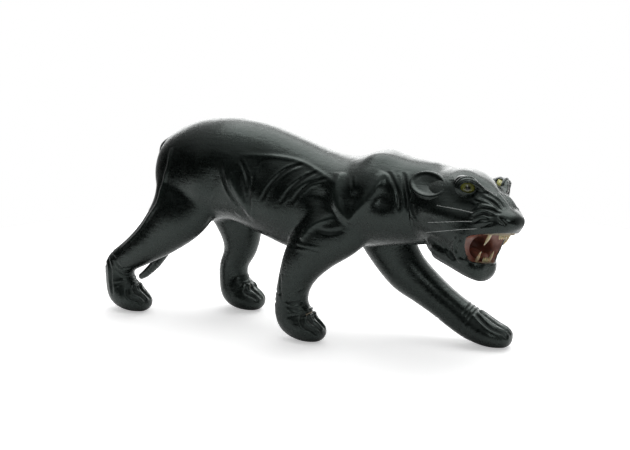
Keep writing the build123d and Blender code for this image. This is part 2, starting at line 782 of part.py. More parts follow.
# ------------------------------------------------------------------------ hatch
SWITCH = HATCH * Location((SWITCH_AT, 0, 0))
switch_hole = column(SWITCH, SWITCH_BUSH + 2 * GAP, INSIDE, OUTSIDE)
nut_well = column(SWITCH, SWITCH_NUT + 4 * GAP, -SWITCH_NUT_SUNK, OUTSIDE)
screw_bottom = -HATCH_DEPTH - HATCH_FRAME
screw_shanks = column(HATCH, HATCH_SCREW, screw_bottom, -HATCH_SCREW_SEAT, HATCH_SCREWS)
screw_heads = column(HATCH, HATCH_SCREW_HEAD, -HATCH_SCREW_SEAT, screw_top, HATCH_SCREWS)
head_wells = column(
    HATCH, HATCH_SCREW_HEAD + 2 * GAP, -HATCH_SCREW_SEAT, OUTSIDE, HATCH_SCREWS
)
foot_middle = BRACKET_AT + BRACKET_FOOT / 2 + BRACKET_THICK
rivet_spots = [(foot_middle, BRACKET_WIDTH / 4), (foot_middle, -BRACKET_WIDTH / 4)]
rivet_shanks = column(
    HATCH, BRACKET_RIVET, -HATCH_DEPTH - BRACKET_THICK, -HATCH_DEPTH + BRACKET_RIVET, rivet_spots
)
rivet_heads = column(
    HATCH,
    2 * BRACKET_RIVET,
    -HATCH_DEPTH - 2 * BRACKET_THICK,
    -HATCH_DEPTH - BRACKET_THICK,
    rivet_spots,
)
hatch_plug = oval_plug(HATCH_LENGTH - 2 * GAP, HATCH_WIDTH - 2 * GAP, -HATCH_DEPTH, OUTSIDE)

with BuildPart() as hatch_cover:
    add(torso_form)
    add(hatch_plug, mode=Mode.INTERSECT)
    for hole in (switch_hole, nut_well, screw_shanks, head_wells, rivet_shanks):
        add(hole, mode=Mode.SUBTRACT)
save(hatch_cover.part, "hatch_cover")

with BuildPart() as hatch_hide:
    add(torso_outer)
    add(torso_form, mode=Mode.SUBTRACT)
    add(hatch_plug, mode=Mode.INTERSECT)
    for hole in (switch_hole, nut_well, head_wells):
        add(hole, mode=Mode.SUBTRACT)
save(hatch_hide.part, "hatch_hide")

with BuildPart() as hatch_screws:
    add(screw_shanks)
    add(screw_heads)
save(hatch_screws.part, "hatch_screws")

grommet_bottom = -HIDE - SHELL_WALL - 2 * INLET_LIP
with BuildPart() as inlet_grommet:
    add(column(INLET, INLET_HOLE, grommet_bottom, INLET_LIP))
    add(column(INLET, INLET_FLANGE, 0, INLET_LIP))
    add(column(INLET, INLET_FLANGE, grommet_bottom, grommet_bottom + INLET_LIP / 2))
    add(column(INLET, INLET_BORE, INSIDE, OUTSIDE), mode=Mode.SUBTRACT)
save(inlet_grommet.part, "inlet_grommet")

# ----------------------------------------------------------------------- switch
shaft_top = SWITCH_BUSH_PROUD + KNOB_LIFT + KNOB_HEIGHT - 2 * KNOB_LIFT
shaft_hole = column(
    SWITCH, SWITCH_SHAFT + 2 * SHAFT_CLEARANCE, -HATCH_DEPTH - SWITCH_SHAFT_DEPTH - GAP, OUTSIDE
)
with BuildPart() as switch_body:
    add(column(SWITCH, SWITCH_BODY, -HATCH_DEPTH - SWITCH_DEPTH, -HATCH_DEPTH))
    add(column(SWITCH, SWITCH_BUSH, -HATCH_DEPTH, SWITCH_BUSH_PROUD))
    add(shaft_hole, mode=Mode.SUBTRACT)
save(switch_body.part, "switch_body")

with BuildPart() as switch_nut:
    with BuildSketch(Plane(SWITCH).offset(-SWITCH_NUT_SUNK)):
        RegularPolygon(SWITCH_NUT / 2, 6)
        Circle(SWITCH_BUSH / 2, mode=Mode.SUBTRACT)
    extrude(amount=SWITCH_NUT_THICK)
save(switch_nut.part, "switch_nut")

with BuildPart() as switch_shaft:
    add(column(SWITCH, SWITCH_SHAFT, -HATCH_DEPTH - SWITCH_SHAFT_DEPTH, shaft_top))
save(switch_shaft.part, "switch_shaft")

with BuildPart() as switch_knob:
    with BuildSketch(Plane(SWITCH).offset(SWITCH_BUSH_PROUD + KNOB_LIFT)):
        Circle(KNOB_DIAMETER / 2)
        with PolarLocations(KNOB_DIAMETER / 2, KNOB_FLUTES):
            Circle(KNOB_FLUTE / 2, mode=Mode.SUBTRACT)
    extrude(amount=KNOB_HEIGHT)
    add(switch_shaft.part, mode=Mode.SUBTRACT)
save(switch_knob.part, "switch_knob")

# ------------------------------------------------------------------- lamp works
LAMP = HATCH * Location((BRACKET_AT, 0, -HATCH_DEPTH - SOCKET_HEIGHT), (0, 90, 0))
socket_start = BRACKET_THICK
socket_end = socket_start + SOCKET_LENGTH
cap_start = socket_end - SOCKET_BORE_DEPTH + GAP
cap_end = cap_start + BULB_CAP_LENGTH

with BuildPart() as lamp_bracket:
    with BuildSketch(hatch_plane(-HATCH_DEPTH)):
        with Locations((BRACKET_AT + (BRACKET_FOOT + BRACKET_THICK) / 2, 0)):
            Rectangle(BRACKET_FOOT + BRACKET_THICK, BRACKET_WIDTH)
    extrude(amount=-BRACKET_THICK)
    with BuildSketch(hatch_plane(-HATCH_DEPTH)):
        with Locations((BRACKET_AT + BRACKET_THICK / 2, 0)):
            Rectangle(BRACKET_THICK, BRACKET_WIDTH)
    extrude(amount=-BRACKET_HEIGHT)
    add(rivet_shanks, mode=Mode.SUBTRACT)
    add(column(LAMP, SOCKET_NIPPLE, -OUTSIDE, OUTSIDE), mode=Mode.SUBTRACT)
save(lamp_bracket.part, "lamp_bracket")

with BuildPart() as bracket_rivets:
    add(rivet_shanks)
    add(rivet_heads)
save(bracket_rivets.part, "bracket_rivets")

with BuildPart() as lamp_socket:
    add(column(LAMP, SOCKET_DIAMETER, socket_start, socket_end))
    add(column(LAMP, SOCKET_NIPPLE, -SOCKET_NIPPLE_LENGTH, socket_start))
    add(
        column(LAMP, BULB_CAP + 2 * GAP, socket_end - SOCKET_BORE_DEPTH, socket_end),
        mode=Mode.SUBTRACT,
    )
save(lamp_socket.part, "lamp_socket")

with BuildPart() as socket_nut:
    with BuildSketch(Plane(LAMP)):
        RegularPolygon(SOCKET_NUT / 2, 6)
        Circle(SOCKET_NIPPLE / 2, mode=Mode.SUBTRACT)
    extrude(amount=-SOCKET_NUT_THICK)
save(socket_nut.part, "socket_nut")

with BuildPart() as bulb_cap:
    add(column(LAMP, BULB_CAP, cap_start, cap_end))
save(bulb_cap.part, "bulb_cap")

bulb_seat = Plane(LAMP).offset(cap_end)
with BuildPart() as bulb_glass:
    with BuildSketch(Plane(bulb_seat.location * Plane.XZ.location)):
        with BuildLine():
            tip = BULB_LENGTH
            belly = BULB_DIAMETER / 2
            Line((0, 0), (BULB_NECK / 2, 0))
            Spline(
                (BULB_NECK / 2, 0),
                (belly, tip * 0.42),
                (0, tip),
                tangents=((0.6, 1), (-1, 0)),
            )
            Line((0, tip), (0, 0))
        make_face()
    revolve(axis=Axis(bulb_seat.origin, bulb_seat.z_dir))
save(bulb_glass.part, "bulb_glass")
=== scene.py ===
"""Dresses the panther television lamp: leather panels, eyes, mouth, lamp works and studio."""

import json
import logging
import math
from dataclasses import astuple, dataclass, field, replace
from enum import Enum
from typing import Iterable, Optional, Sequence

import bmesh
import bpy
import numpy as np
from mathutils import Matrix, Vector
from mathutils.bvhtree import BVHTree

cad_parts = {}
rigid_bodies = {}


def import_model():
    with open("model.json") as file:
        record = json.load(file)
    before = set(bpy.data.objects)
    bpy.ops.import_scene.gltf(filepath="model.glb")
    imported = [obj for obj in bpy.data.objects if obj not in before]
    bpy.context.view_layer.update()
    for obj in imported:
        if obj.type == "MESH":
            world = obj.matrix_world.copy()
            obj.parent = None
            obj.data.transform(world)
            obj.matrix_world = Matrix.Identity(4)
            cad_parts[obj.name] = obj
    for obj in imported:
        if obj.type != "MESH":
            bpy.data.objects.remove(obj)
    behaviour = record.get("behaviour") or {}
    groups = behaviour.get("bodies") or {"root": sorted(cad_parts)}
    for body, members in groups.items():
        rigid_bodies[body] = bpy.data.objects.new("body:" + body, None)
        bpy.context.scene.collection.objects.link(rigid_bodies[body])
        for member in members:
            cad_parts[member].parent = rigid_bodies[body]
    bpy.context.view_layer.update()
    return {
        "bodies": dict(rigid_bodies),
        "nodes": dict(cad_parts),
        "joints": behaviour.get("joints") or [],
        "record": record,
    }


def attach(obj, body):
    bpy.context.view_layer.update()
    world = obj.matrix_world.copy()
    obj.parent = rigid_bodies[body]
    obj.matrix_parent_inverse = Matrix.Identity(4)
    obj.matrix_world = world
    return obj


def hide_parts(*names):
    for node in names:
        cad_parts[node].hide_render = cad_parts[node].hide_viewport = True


LOG = logging.getLogger("panther_lamp")
BODY = "figure"
MM = 0.001
FLOOR = 5.0  # under the soles, in the animal's frame
STAND = Vector((4.5, 6.84, -FLOOR))  # middle plane of the animal to the middle of the footprint
SOLE_PAD = 1.5

Point = tuple[float, float, float]


# ------------------------------------------------------------------ places and ribs
def turned(at: Point, x: float = 0.0, y: float = 0.0, z: float = 0.0) -> Matrix:
    """Place with intrinsic turns about X, then Y, then Z, in degrees."""
    spin = Matrix.Rotation(math.radians(x), 4, "X") @ Matrix.Rotation(math.radians(y), 4, "Y")
    return Matrix.Translation(at) @ spin @ Matrix.Rotation(math.radians(z), 4, "Z")


HERE = Matrix.Identity(4)
FACE = turned((185.0, -21.0, 172.5), z=-26.0) @ turned((0, 0, 0), x=-8.0, y=2.0)
FACE_BACK = FACE.inverted()
SECTION = Matrix(((0, 0, 1, 0), (1, 0, 0, 0), (0, 1, 0, 0), (0, 0, 0, 1)))  # X to left, Y to up
SIDES = {"right": -1, "left": 1}


@dataclass(frozen=True)
class Rib:
    """Elliptical section of a limb: its middle, nose-down slope and half sizes, in millimetres."""

    x: float
    y: float
    z: float
    slope: float
    half_width: float
    half_height: float
    turn: float = 0.0

    def place(self, frame: Matrix = HERE) -> Matrix:
        """Place of the section, with X to the left and Y up in its plane."""
        return frame @ turned((self.x, self.y, self.z), y=self.slope) @ turned(
            (0, 0, 0), z=-self.turn
        ) @ SECTION

    def spot(self, angle: float) -> tuple[float, float, float]:
        """Where the skin is at an angle round the section.

        Args:
            angle: degrees from the top of the section round to the left.

        Returns:
            How far the spot lies to the left and up, and the lean of the skin in degrees.
        """
        sine, cosine = math.sin(math.radians(angle)), math.cos(math.radians(angle))
        lean = math.atan2(sine / self.half_width, cosine / self.half_height)
        return self.half_width * sine, self.half_height * cosine, math.degrees(lean)

    def rim(self, angle: float) -> Vector:
        """Point on the section, at an angle from its top round to the left, in degrees."""
        left, up, _ = self.spot(angle)
        return self.place() @ Vector((left, up, 0.0))


def between(ribs: Sequence[Rib], station: float) -> Rib:
    """Rib at a station along a limb, on a smooth curve through its ribs."""
    last = len(ribs) - 1
    station = min(max(station, 0.0), float(last))
    index = min(int(station), last - 1)
    part = station - index
    places = (max(index - 1, 0), index, index + 1, min(index + 2, last))
    before, start, end, after = (np.array(astuple(ribs[place])) for place in places)
    out, into = (end - before) / 2, (after - start) / 2
    p2, p3 = part * part, part * part * part
    row = (
        (2 * p3 - 3 * p2 + 1) * start
        + (p3 - 2 * p2 + part) * out
        + (3 * p2 - 2 * p3) * end
        + (p3 - p2) * into
    )
    return Rib(*(float(value) for value in row))


def rib_rows(*rows: tuple[float, ...]) -> tuple[Rib, ...]:
    """Ribs from rows of x, y, z, slope, half width and half height."""
    return tuple(Rib(*row) for row in rows)


def torso_rib(x: float, bottom: float, top: float, half_width: float, turn: float = 0.0) -> Rib:
    """Upright rib of the body between two heights."""
    return Rib(x, 0.0, (bottom + top) / 2, 0.0, half_width, (top - bottom) / 2, turn)


NECK = torso_rib(126, 109, 188, 36, turn=14)
LOIN = torso_rib(-17, 88, 201, 42)
FLANK = torso_rib(-55, 99, 212, 44)
TORSO = (
    *(torso_rib(*row) for row in (
        (-179, 136, 174, 18), (-171, 116, 190, 29), (-154, 104, 202, 38), (-128, 104, 212, 43),
        (-92, 110, 216, 45),
    )),
    FLANK,
    LOIN,
    *(torso_rib(*row) for row in (
        (18, 92, 190, 42), (46, 98, 187, 44), (76, 102, 194, 45), (104, 106, 190, 40),
    )),
    NECK,
)
HEAD = rib_rows(
    (-46, 0, -27, 0, 38, 37.5), (-22, 0, -26.5, 0, 36, 40), (-4, 0, -31, 0, 31.5, 41),
    (8, 0, -35, 0, 28, 41), (20, 0, -28, 0, 24, 27), (32, 0, -27, 0, 20, 17),
    (41, 0, -23.5, 0, 14.5, 10), (47, 0, -22.5, 0, 8, 5),
)
JAW = rib_rows(
    (-30, 0, -62, 25, 27, 16), (-10, 0, -68, 30, 22, 14), (6, 0, -70.5, 15, 19, 13.5),
    (15, 0, -70.5, 0, 15.5, 13), (20.5, 0, -70, 0, 8, 8),
)
LEGS = {
    "hind_right": rib_rows(
        (-132, -20, 152, 100, 18, 42), (-144, -26, 118, 122, 21, 33),
        (-170, -28, 91, 137, 18, 24), (-196, -30, 71, 137, 15, 18),
        (-219, -30, 54, 112, 13.5, 17), (-220, -30, 38, 90, 14, 17.5),
        (-214, -30, 24, 60, 16.5, 20), (-202, -30, 17, 20, 17.5, 13.5),
        (-190, -30, 14.5, 0, 13, 9.5),
    ),
    "hind_left": rib_rows(
        (-128, 20, 152, 80, 18, 42), (-112, 26, 118, 80, 21, 33), (-105, 28, 92, 88, 18, 25),
        (-106, 30, 70, 98, 15, 18.5), (-114, 30, 52, 96, 13.5, 16), (-114, 30, 38, 88, 14, 17),
        (-108, 30, 24, 60, 16.5, 20), (-97, 30, 17, 20, 17.5, 13.5), (-85, 30, 14.5, 0, 13, 9.5),
    ),
    "front_right": rib_rows(
        (58, -20, 152, 112, 18, 36), (36, -28, 120, 122, 21, 33), (10, -32, 90, 112, 18, 25),
        (-3, -34, 66, 100, 15, 18.5), (-8, -34, 46, 90, 14, 17), (-6, -34, 33, 84, 15, 20),
        (-1, -34, 24, 55, 16.5, 20), (11, -34, 17, 20, 17.5, 13.5), (22, -34, 14.5, 0, 13, 9.5),
    ),
    "front_left": rib_rows(
        (56, 20, 138, 60, 18, 34), (68, 28, 103, 48, 20, 29), (86, 32, 72, 36, 18, 23.5),
        (108, 34, 54, 38, 16, 19), (128, 34, 41, 38, 15, 17), (144, 34, 31, 36, 15, 17),
        (160, 34, 23, 26, 17, 16), (177, 34, 17, 10, 17.5, 13), (191, 34, 14.5, 0, 13, 9.5),
    ),
}
TAIL = rib_rows(
    (-164, -2, 186, 160, 8, 8), (-178, 2, 176, 125, 8, 8), (-184, 10, 150, 98, 7.5, 7.5),
    (-187, 20, 120, 92, 7, 7), (-188, 26, 92, 95, 6.5, 6.5), (-196, 27, 67, 115, 6, 6),
    (-211, 26, 45, 132, 5.5, 5.5), (-226, 25, 30, 140, 4.5, 4.5), (-233, 25, 25, 145, 3.5, 3.5),
)


# ------------------------------------------------------------------------ modelling
class Clay:
    """Closed lumps modelled in millimetres in the animal's frame, to be merged into one form."""

    ROUND = 40  # sides of a limb
    FINE = 6  # sections between two ribs
    DOME = ((0.9, 0.45), (0.55, 0.8))  # share of a tube's radius, and rise, of its rounded ends

    def __init__(self) -> None:
        """Start with nothing on the bench."""
        self.mesh = bmesh.new()

    def limb(self, ribs: Sequence[Rib], frame: Matrix = HERE) -> None:
        """Skin a limb smoothly through its ribs and close both ends.

        Args:
            ribs: the sections along the limb.
            frame: the frame that the ribs are given in.
        """
        steps = self.FINE * (len(ribs) - 1)
        rings = []
        for step in range(steps + 1):
            rib = between(ribs, step / self.FINE)
            size = Matrix.Diagonal((rib.half_width, rib.half_height, 1.0, 1.0))
            rings.append(rib.place(frame) @ size)
        self.skin(rings, self.ROUND)

    def skin(self, rings: Sequence[Matrix], sides: int) -> None:
        """Join unit circles at the given places into one closed tube."""
        loops: list[list[bmesh.types.BMVert]] = []
        for index, place in enumerate(rings):
            loops.append(bmesh.ops.create_circle(
                self.mesh, cap_ends=index in (0, len(rings) - 1), radius=1.0,
                segments=sides, matrix=place,
            )["verts"])
        for near, far in zip(loops, loops[1:]):
            bmesh.ops.bridge_loops(self.mesh, edges=ring_edges(near) + ring_edges(far))
        faces = {face for loop in loops for vert in loop for face in vert.link_faces}
        bmesh.ops.recalc_face_normals(self.mesh, faces=list(faces))

    def ball(self, at: Point, radii: Point, frame: Matrix = HERE) -> None:
        """Lay on an egg-shaped lump.

        Args:
            at: the middle of the lump.
            radii: its half sizes.
            frame: the frame that it is given in.
        """
        place = frame @ turned(at) @ Matrix.Diagonal((*radii, 1.0))
        bmesh.ops.create_uvsphere(
            self.mesh, u_segments=24, v_segments=16, radius=1.0, matrix=place
        )

    def tube(
        self,
        points: Sequence[Point],
        radii: Sequence[float],
        frame: Matrix = HERE,
        sides: int = 16,
        fine: int = 5,
    ) -> None:
        """Draw a tapering round tube along a smooth line, with rounded ends.

        Args:
            points: points that its middle passes through.
            radii: its radius at each point.
            frame: the frame that the points are given in.
            sides: sides of the tube.
            fine: sections between two points.
        """
        path, widths = smooth_line([frame @ Vector(point) for point in points], radii, fine)
        ahead = [path[min(i + 1, len(path) - 1)] - path[max(i - 1, 0)] for i in range(len(path))]
        first, last = widths[0], widths[-1]
        sections = [(path[0] - ahead[0].normalized() * first * lift, ahead[0], first * share)
                    for share, lift in reversed(self.DOME)]
        sections += list(zip(path, ahead, widths))
        sections += [(path[-1] + ahead[-1].normalized() * last * lift, ahead[-1], last * share)
                     for share, lift in self.DOME]
        rings = []
        across = ahead[0].orthogonal().normalized()
        for at, along, radius in sections:
            along = along.normalized()
            across = (across - along * across.dot(along)).normalized()
            spin = Matrix((across, along.cross(across), along)).transposed().to_4x4()
            size = Matrix.Diagonal((radius, radius, 1.0, 1.0))
            rings.append(Matrix.Translation(at) @ spin @ size)
        self.skin(rings, sides)

    def piece(self, name: str) -> bpy.types.Object:
        """The lumps as they are, as one object in millimetres."""
        made = new_object(name, self.mesh)
        self.mesh = bmesh.new()
        return made

    def merged(self, name: str, voxel: float, smoothing: int) -> bpy.types.Object:
        """Merge the lumps into one closed skin and stroke it smooth.

        Args:
            name: name of the object.
            voxel: size of the cells of the skin, in millimetres.
            smoothing: passes of smoothing.

        Returns:
            The object, still in millimetres.
        """
        return remeshed(self.piece(name), voxel, smoothing)


def ring_edges(ring: Sequence[bmesh.types.BMVert]) -> list[bmesh.types.BMEdge]:
    """Edges that run round a ring of vertices."""
    members = set(ring)
    return [
        edge
        for edge in {edge for vert in ring for edge in vert.link_edges}
        if edge.verts[0] in members and edge.verts[1] in members
    ]


def smooth_line(
    points: Sequence[Vector], values: Sequence[float], fine: int = 5
) -> tuple[list[Vector], list[float]]:
    """Points and values on a smooth curve through the given ones."""
    ribs = [
        Rib(point.x, point.y, point.z, 0.0, value, value)
        for point, value in zip(points, values)
    ]
    steps = fine * (len(ribs) - 1)
    curve = [between(ribs, step / fine) for step in range(steps + 1)]
    return [Vector((rib.x, rib.y, rib.z)) for rib in curve], [rib.half_width for rib in curve]


def new_object(name: str, mesh: bmesh.types.BMesh) -> bpy.types.Object:
    """Put a finished bmesh into a new object of the scene and free it."""
    data = bpy.data.meshes.new(name)
    mesh.to_mesh(data)
    mesh.free()
    piece = bpy.data.objects.new(name, data)
    bpy.context.scene.collection.objects.link(piece)
    return piece


def settled(piece: bpy.types.Object) -> bpy.types.Object:
    """Apply the modifiers of a piece to its mesh."""
    graph = bpy.context.evaluated_depsgraph_get()
    old = piece.data
    piece.data = bpy.data.meshes.new_from_object(piece.evaluated_get(graph))
    piece.data.name = piece.name
    piece.modifiers.clear()
    bpy.data.meshes.remove(old)
    return piece


def remeshed(piece: bpy.types.Object, voxel: float, smoothing: int) -> bpy.types.Object:
    """Give a piece an even skin of small cells, then smooth it."""
    skin = piece.modifiers.new("skin", "REMESH")
    skin.mode = "VOXEL"
    skin.voxel_size = voxel
    if smoothing:
        stroke = piece.modifiers.new("stroke", "SMOOTH")
        stroke.factor = 0.5
        stroke.iterations = smoothing
    return settled(piece)


def carved(
    piece: bpy.types.Object, *tools: bpy.types.Object, operation: str = "DIFFERENCE"
) -> None:
    """Cut tools out of a piece, or keep what is in them, and throw the tools away."""
    for tool in tools:
        cut = piece.modifiers.new("cut", "BOOLEAN")
        cut.operation = operation
        cut.solver = "EXACT"
        cut.object = tool
        settled(piece)
        discard(tool)


def discard(piece: bpy.types.Object) -> None:
    """Remove a tool and its mesh."""
    data = piece.data
    bpy.data.objects.remove(piece)
    bpy.data.meshes.remove(data)


def read(
    items: bpy.types.bpy_prop_collection, name: str, width: int, kind: type = float
) -> np.ndarray:
    """A property of all the items of a mesh, as rows of the given width."""
    values = np.empty(len(items) * width, dtype=kind)
    items.foreach_get(name, values)
    return values.reshape(-1, width)


def coordinates(mesh: bpy.types.Mesh) -> np.ndarray:
    """Vertex positions as rows."""
    return read(mesh.vertices, "co", 3)


def directions(mesh: bpy.types.Mesh) -> np.ndarray:
    """Vertex normals as rows."""
    return read(mesh.vertex_normals, "vector", 3)


# --------------------------------------------------------------------------- folds
def in_face(points: np.ndarray) -> np.ndarray:
    """Rows of positions taken into the head's frame."""
    place = np.array(FACE_BACK)
    return points @ place[:3, :3].T + place[:3, 3]


@dataclass(frozen=True)
class Swell:
    """Soft hump or hollow of the form: where it is, how far it reaches and how high it is."""

    at: Point
    reach: Point
    height: float
    on_face: bool = False  # given in the head's frame

    def lift(self, points: np.ndarray) -> np.ndarray:
        """Height of the hump at each point."""
        if self.on_face:
            points = in_face(points)
        away = (points - np.array(self.at)) / np.array(self.reach)
        return self.height * np.exp(-(away * away).sum(axis=1))


@dataclass(frozen=True)
class Fold:
    """Crease or ridge of the leather along a line."""

    line: tuple[Point, ...]
    height: float  # below zero for a crease
    width: float
    lip: float = 0.0  # height of the raised lips beside a crease
    on_face: bool = False  # given in the head's frame

    def lift(self, points: np.ndarray) -> np.ndarray:
        """Height of the fold at each point.

        Args:
            points: rows of positions in millimetres.

        Returns:
            The lift along the normal, tapering to nothing at the ends of the line.
        """
        if self.on_face:
            points = in_face(points)
        path, _ = smooth_line([Vector(point) for point in self.line], [1.0] * len(self.line), 4)
        line = np.array([tuple(point) for point in path])
        reach = 4.0 * self.width
        low, high = line.min(axis=0) - reach, line.max(axis=0) + reach
        near = np.nonzero(((points > low) & (points < high)).all(axis=1))[0]
        lift = np.zeros(len(points))
        if not len(near):
            return lift
        spots = points[near]
        best = np.full(len(spots), np.inf)
        part = np.zeros(len(spots))
        count = len(line) - 1
        for index in range(count):
            start, run = line[index], line[index + 1] - line[index]
            along = np.clip(((spots - start) @ run) / (run @ run), 0.0, 1.0)
            away = np.linalg.norm(spots - start - along[:, None] * run, axis=1)
            closer = away < best
            best[closer] = away[closer]
            part[closer] = (index + along[closer]) / count
        taper = np.sqrt(np.clip(np.sin(math.pi * part), 0.0, 1.0))
        shape = self.height * np.exp(-((best / self.width) ** 2))
        shape += self.lip * np.exp(-(((best - 2.0 * self.width) / self.width) ** 2))
        lift[near] = shape * taper
        return lift


def both_sides(shapes: Iterable[Swell | Fold]) -> list[Swell | Fold]:
    """Shapes given for the right side, and the same on the left."""
    pairs: list[Swell | Fold] = []
    for shape in shapes:
        if isinstance(shape, Swell):
            x, y, z = shape.at
            left = replace(shape, at=(x, -y, z))
        else:
            left = replace(shape, line=tuple((x, -y, z) for x, y, z in shape.line))
        pairs += [shape, left]
    return pairs


def on_limb(
    ribs: Sequence[Rib], spots: Sequence[tuple[float, float]], side: int
) -> tuple[Point, ...]:
    """Points on the skin of a limb, from stations along it and angles round it.

    Args:
        ribs: the ribs of the limb.
        spots: a station and an angle, in degrees from the front round outwards, for each point.
        side: -1 for a limb on the right and 1 for one on the left.

    Returns:
        The points in the animal's frame.
    """
    return tuple(
        tuple(between(ribs, station).rim(side * angle)) for station, angle in spots
    )


DEEPEST_FOLD = 1.9  # where creases meet, they stay within the leather
FOLD_NOTE = "fold"  # attribute that keeps the lift of the folds, from which the leather paints shade into its creases


def press(piece: bpy.types.Object, shapes: Iterable[Swell | Fold], mark: bool = True) -> None:
    """Lift and press the skin of a piece, and note where it was folded.

    Args:
        piece: an object in millimetres.
        shapes: the humps, hollows, creases and ridges.
        mark: whether the lift is kept for the leather's colour: ridges rubbed lighter and painted
            shade in the creases.
    """
    mesh = piece.data
    points, normals = coordinates(mesh), directions(mesh)
    swells = np.zeros(len(points))
    folds = np.zeros(len(points))
    for shape in shapes:
        if isinstance(shape, Fold):
            folds += shape.lift(points)
        else:
            swells += shape.lift(points)
    total = swells + np.maximum(folds, -DEEPEST_FOLD)
    points += total[:, None] * normals
    mesh.vertices.foreach_set("co", points.ravel())
    if mark:
        note = mesh.attributes.get(FOLD_NOTE) or mesh.attributes.new(FOLD_NOTE, "FLOAT", "POINT")
        note.data.foreach_set("value", np.clip(folds, -2.0, 2.0))
    mesh.update()


# ------------------------------------------------------------------------ finishes
class Grain(Enum):
    """How coarse the pebble of a leather is, as bumps per metre."""

    FINE = 1500.0
    BODY = 900.0


COLOUR_A, COLOUR_B, MIXED_COLOUR = 6, 7, 2  # colour sockets of a Mix node


class Painter:
    """Places and joins nodes in a tree."""

    def __init__(self, tree: bpy.types.NodeTree) -> None:
        """Work on one tree."""
        self.tree = tree

    def node(self, kind: str, **settings: object) -> bpy.types.Node:
        """Add a node and set its own options."""
        made = self.tree.nodes.new(kind)
        for name, value in settings.items():
            setattr(made, name, value)
        return made

    def join(self, source: bpy.types.NodeSocket, target: bpy.types.NodeSocket) -> None:
        """Join two sockets."""
        self.tree.links.new(source, target)

    def feed(self, target: bpy.types.NodeSocket, value: object) -> None:
        """Join a socket to an input, or set it to a number or a colour."""
        if isinstance(value, bpy.types.NodeSocket):
            self.join(value, target)
        else:
            target.default_value = (*value, 1.0) if isinstance(value, tuple) else value

    def math(self, operation: str, first: object, second: object) -> bpy.types.NodeSocket:
        """Result of a sum on sockets or numbers."""
        made = self.node("ShaderNodeMath", operation=operation)
        self.feed(made.inputs[0], first)
        self.feed(made.inputs[1], second)
        return made.outputs[0]

    def spread(
        self, value: bpy.types.NodeSocket, low: float, high: float, to_low: float, to_high: float
    ) -> bpy.types.NodeSocket:
        """A value taken from one range to another."""
        made = self.node("ShaderNodeMapRange")
        self.join(value, made.inputs["Value"])
        for name, number in (
            ("From Min", low), ("From Max", high), ("To Min", to_low), ("To Max", to_high)
        ):
            made.inputs[name].default_value = number
        return made.outputs["Result"]

    def blend(
        self, share: bpy.types.NodeSocket, first: object, second: object
    ) -> bpy.types.NodeSocket:
        """Mix of two colours."""
        made = self.node("ShaderNodeMix", data_type="RGBA")
        self.join(share, made.inputs["Factor"])
        self.feed(made.inputs[COLOUR_A], first)
        self.feed(made.inputs[COLOUR_B], second)
        return made.outputs[MIXED_COLOUR]

    def noise(
        self, where: bpy.types.NodeSocket, scale: object, detail: float = 2.0, twist: float = 0.0
    ) -> bpy.types.NodeSocket:
        """Cloudy pattern."""
        made = self.node("ShaderNodeTexNoise")
        self.join(where, made.inputs["Vector"])
        self.feed(made.inputs["Scale"], scale)
        made.inputs["Detail"].default_value = detail
        made.inputs["Distortion"].default_value = twist
        return made.outputs["Fac"]

    def stretched(
        self, where: bpy.types.NodeSocket, scale: Point, turn: Point = (0.0, 0.0, 0.0)
    ) -> bpy.types.NodeSocket:
        """Coordinates scaled along each axis."""
        made = self.node("ShaderNodeMapping")
        self.join(where, made.inputs["Vector"])
        made.inputs["Scale"].default_value = scale
        made.inputs["Rotation"].default_value = tuple(math.radians(angle) for angle in turn)
        return made.outputs["Vector"]


def pattern_group(
    name: str, colours: Sequence[str], numbers: Sequence[str]
) -> tuple[Painter, bpy.types.NodeOutputs, bpy.types.NodeInputs]:
    """Empty shared pattern that gives a colour, a roughness and a height.

    Args:
        name: name of the group.
        colours: names of the inputs that are colours.
        numbers: names of the inputs that are numbers.

    Returns:
        The painter of the group, what comes into it and what leaves it.
    """
    group = bpy.data.node_groups.new(name, "ShaderNodeTree")
    sockets = [("Vector", "INPUT", "Vector")]
    sockets += [(label, "INPUT", "Color") for label in colours]
    sockets += [(label, "INPUT", "Float") for label in numbers]
    sockets += [("Color", "OUTPUT", "Color"), ("Roughness", "OUTPUT", "Float"),
                ("Height", "OUTPUT", "Float")]
    for label, way, kind in sockets:
        group.interface.new_socket(name=label, in_out=way, socket_type=f"NodeSocket{kind}")
    paint = Painter(group)
    return paint, paint.node("NodeGroupInput").outputs, paint.node("NodeGroupOutput").inputs


